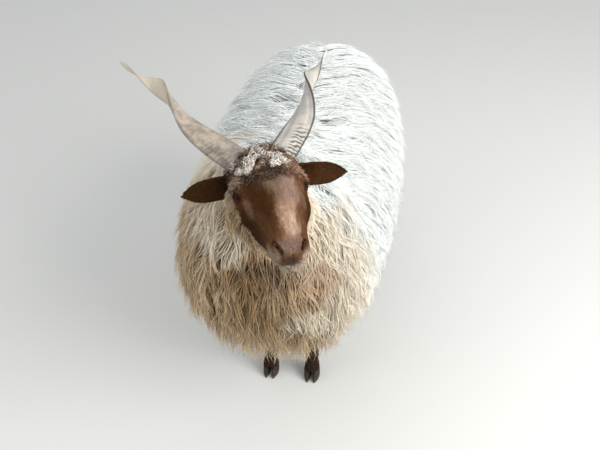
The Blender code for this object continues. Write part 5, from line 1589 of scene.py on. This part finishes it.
class RACKA_OT_eyes(bpy.types.Operator):
    """Makes the two eyeballs, each with a raised cornea."""

    bl_idname = "racka.eyes"
    bl_label = "Make the eyes"

    def execute(self, context):
        rows, around = GRIDS["eye"]
        down, turn = np.linspace(0, math.pi, rows)[1:-1, None], circle(around)[None]
        x, y, z = np.sin(down) * np.cos(turn), np.sin(down) * np.sin(turn), np.cos(down) + 0 * turn
        radius = EYE_RADIUS * EYE_SHARE * (1 + 0.03 * bell(down, 0.5))
        values = {"across": np.concatenate([x.ravel(), (0, 0)]), "above": np.concatenate([y.ravel(), (0, 0)])}
        for name, side in SIDES:
            centre, out, along, up = eye_axes(side)
            ball = (along * x[..., None] + up * y[..., None] + out * z[..., None]) * radius[..., None]
            poles = centre + np.array((out * EYE_RADIUS * 1.0146, -out * EYE_RADIUS * EYE_SHARE))
            points, faces = closed_grid(centre + ball, poles)
            eye = build_mesh("eyeball_" + name, from_head(points), faces, values)
            finished(eye, "eye", eye_wet, "eye_" + name)
        return {"FINISHED"}


class RACKA_OT_claws(bpy.types.Operator):
    """Makes the eight claws."""

    bl_idname = "racka.claws"
    bl_label = "Make the claws"

    def execute(self, context):
        for (side_name, side), (leg, stations, at) in itertools.product(SIDES, LEGS):
            foot_x, foot_y = side * (at[0] - FOOT_INWARDS), at[1] + stations[-1][1] + 0.001
            for way in (-1, 1):
                name = f"{leg}_{side_name}_" + ("outer" if way == side else "inner")
                claw = build_mesh("hoof_" + name, *closed_grid(claw_grid(foot_x, foot_y, way, *GRIDS["claw"])))
                finished(claw, "claw", claw_horn, "claw_" + name)
        return {"FINISHED"}


class RACKA_OT_stage(bpy.types.Operator):
    """Makes the floor, the soft light and the camera."""

    bl_idname = "racka.stage"
    bl_label = "Make the stage"

    def execute(self, context):
        scene, settings = context.scene, context.scene.racka_stage
        corners = np.array(((-1, -1, 0), (1, -1, 0), (1, 1, 0), (-1, 1, 0))) * FLOOR_REACH
        floor = build_mesh("floor", corners, [np.array([[0, 1, 2, 3]])])
        floor.data.materials.append(material_of(floor_plain))
        scene.world = bpy.data.worlds.new("soft_sky")
        scene.world.use_nodes = True
        sky = scene.world.node_tree.nodes["Background"].inputs
        sky["Color"].default_value = (0.96, 0.98, 1.0, 1.0)
        sky["Strength"].default_value = settings.fill
        scene.view_settings.view_transform = "Standard"
        for name, place, aim, share, size, tint in LAMPS:
            lamp = bpy.data.lights.new(name, "AREA")
            lamp.energy, lamp.size, lamp.color = settings.key_power * share, size, tint
            holder = bpy.data.objects.new(name, lamp)
            holder.location = place
            holder.rotation_euler = (Vector(aim) - Vector(place)).to_track_quat("-Z", "Y").to_euler()
            scene.collection.objects.link(holder)
        camera = bpy.data.cameras.new("camera")
        camera.sensor_width, camera.lens, camera.clip_start = 36.0, settings.lens, 0.05
        scene.camera = bpy.data.objects.new("camera", camera)
        scene.camera.matrix_world = Matrix.Translation(CAMERA_AT) @ camera_turn()
        scene.collection.objects.link(scene.camera)
        return {"FINISHED"}


def camera_turn():
    """The camera's rotation: yaw about the vertical, then pitch, then a roll about the line of sight."""
    level = math.cos(CAMERA_PITCH)
    forward = Vector((math.sin(CAMERA_YAW) * level, math.cos(CAMERA_YAW) * level, math.sin(CAMERA_PITCH)))
    right = forward.cross(Vector((0, 0, 1))).normalized()
    up = right.cross(forward)
    rolled_right = right * math.cos(CAMERA_ROLL) + up * math.sin(CAMERA_ROLL)
    rolled_up = up * math.cos(CAMERA_ROLL) - right * math.sin(CAMERA_ROLL)
    return Matrix((rolled_right, rolled_up, -forward)).transposed().to_4x4()


class RACKA_PT_panel(bpy.types.Panel):
    """Sizes, colours and the steps that make the sheep."""

    bl_label = "Racka sheep"
    bl_idname = "RACKA_PT_panel"
    bl_space_type = "VIEW_3D"
    bl_region_type = "UI"
    bl_category = "Racka sheep"

    def draw(self, context):
        layout = self.layout
        for settings in (context.scene.racka_fleece, context.scene.racka_colours, context.scene.racka_stage):
            box = layout.box()
            for key in settings.__annotations__:
                box.prop(settings, key)
        for step in STEPS:
            layout.operator(step.bl_idname)


SETTINGS = (FleeceSizes, CoatColours, StageSettings)
STEPS = (
    RACKA_OT_skin,
    RACKA_OT_eyes,
    RACKA_OT_horns,
    RACKA_OT_claws,
    RACKA_OT_fleece,
    RACKA_OT_tail_wool,
    RACKA_OT_poll_curls,
    RACKA_OT_cheek_wool,
    RACKA_OT_short_fur,
    RACKA_OT_stage,
)


def register():
    for kind in (*SETTINGS, *STEPS, RACKA_PT_panel):
        bpy.utils.register_class(kind)
    bpy.types.Scene.racka_fleece = PointerProperty(type=FleeceSizes)
    bpy.types.Scene.racka_colours = PointerProperty(type=CoatColours)
    bpy.types.Scene.racka_stage = PointerProperty(type=StageSettings)


def unregister():
    del bpy.types.Scene.racka_stage
    del bpy.types.Scene.racka_colours
    del bpy.types.Scene.racka_fleece
    for kind in reversed((*SETTINGS, *STEPS, RACKA_PT_panel)):
        bpy.utils.unregister_class(kind)


def plain(box):
    return [[float(number) for number in corner] for corner in box]


def main():
    register()
    for step in STEPS:
        group, name = step.bl_idname.split(".")
        getattr(getattr(bpy.ops, group), name)()


if __name__ == "__main__":
    main()
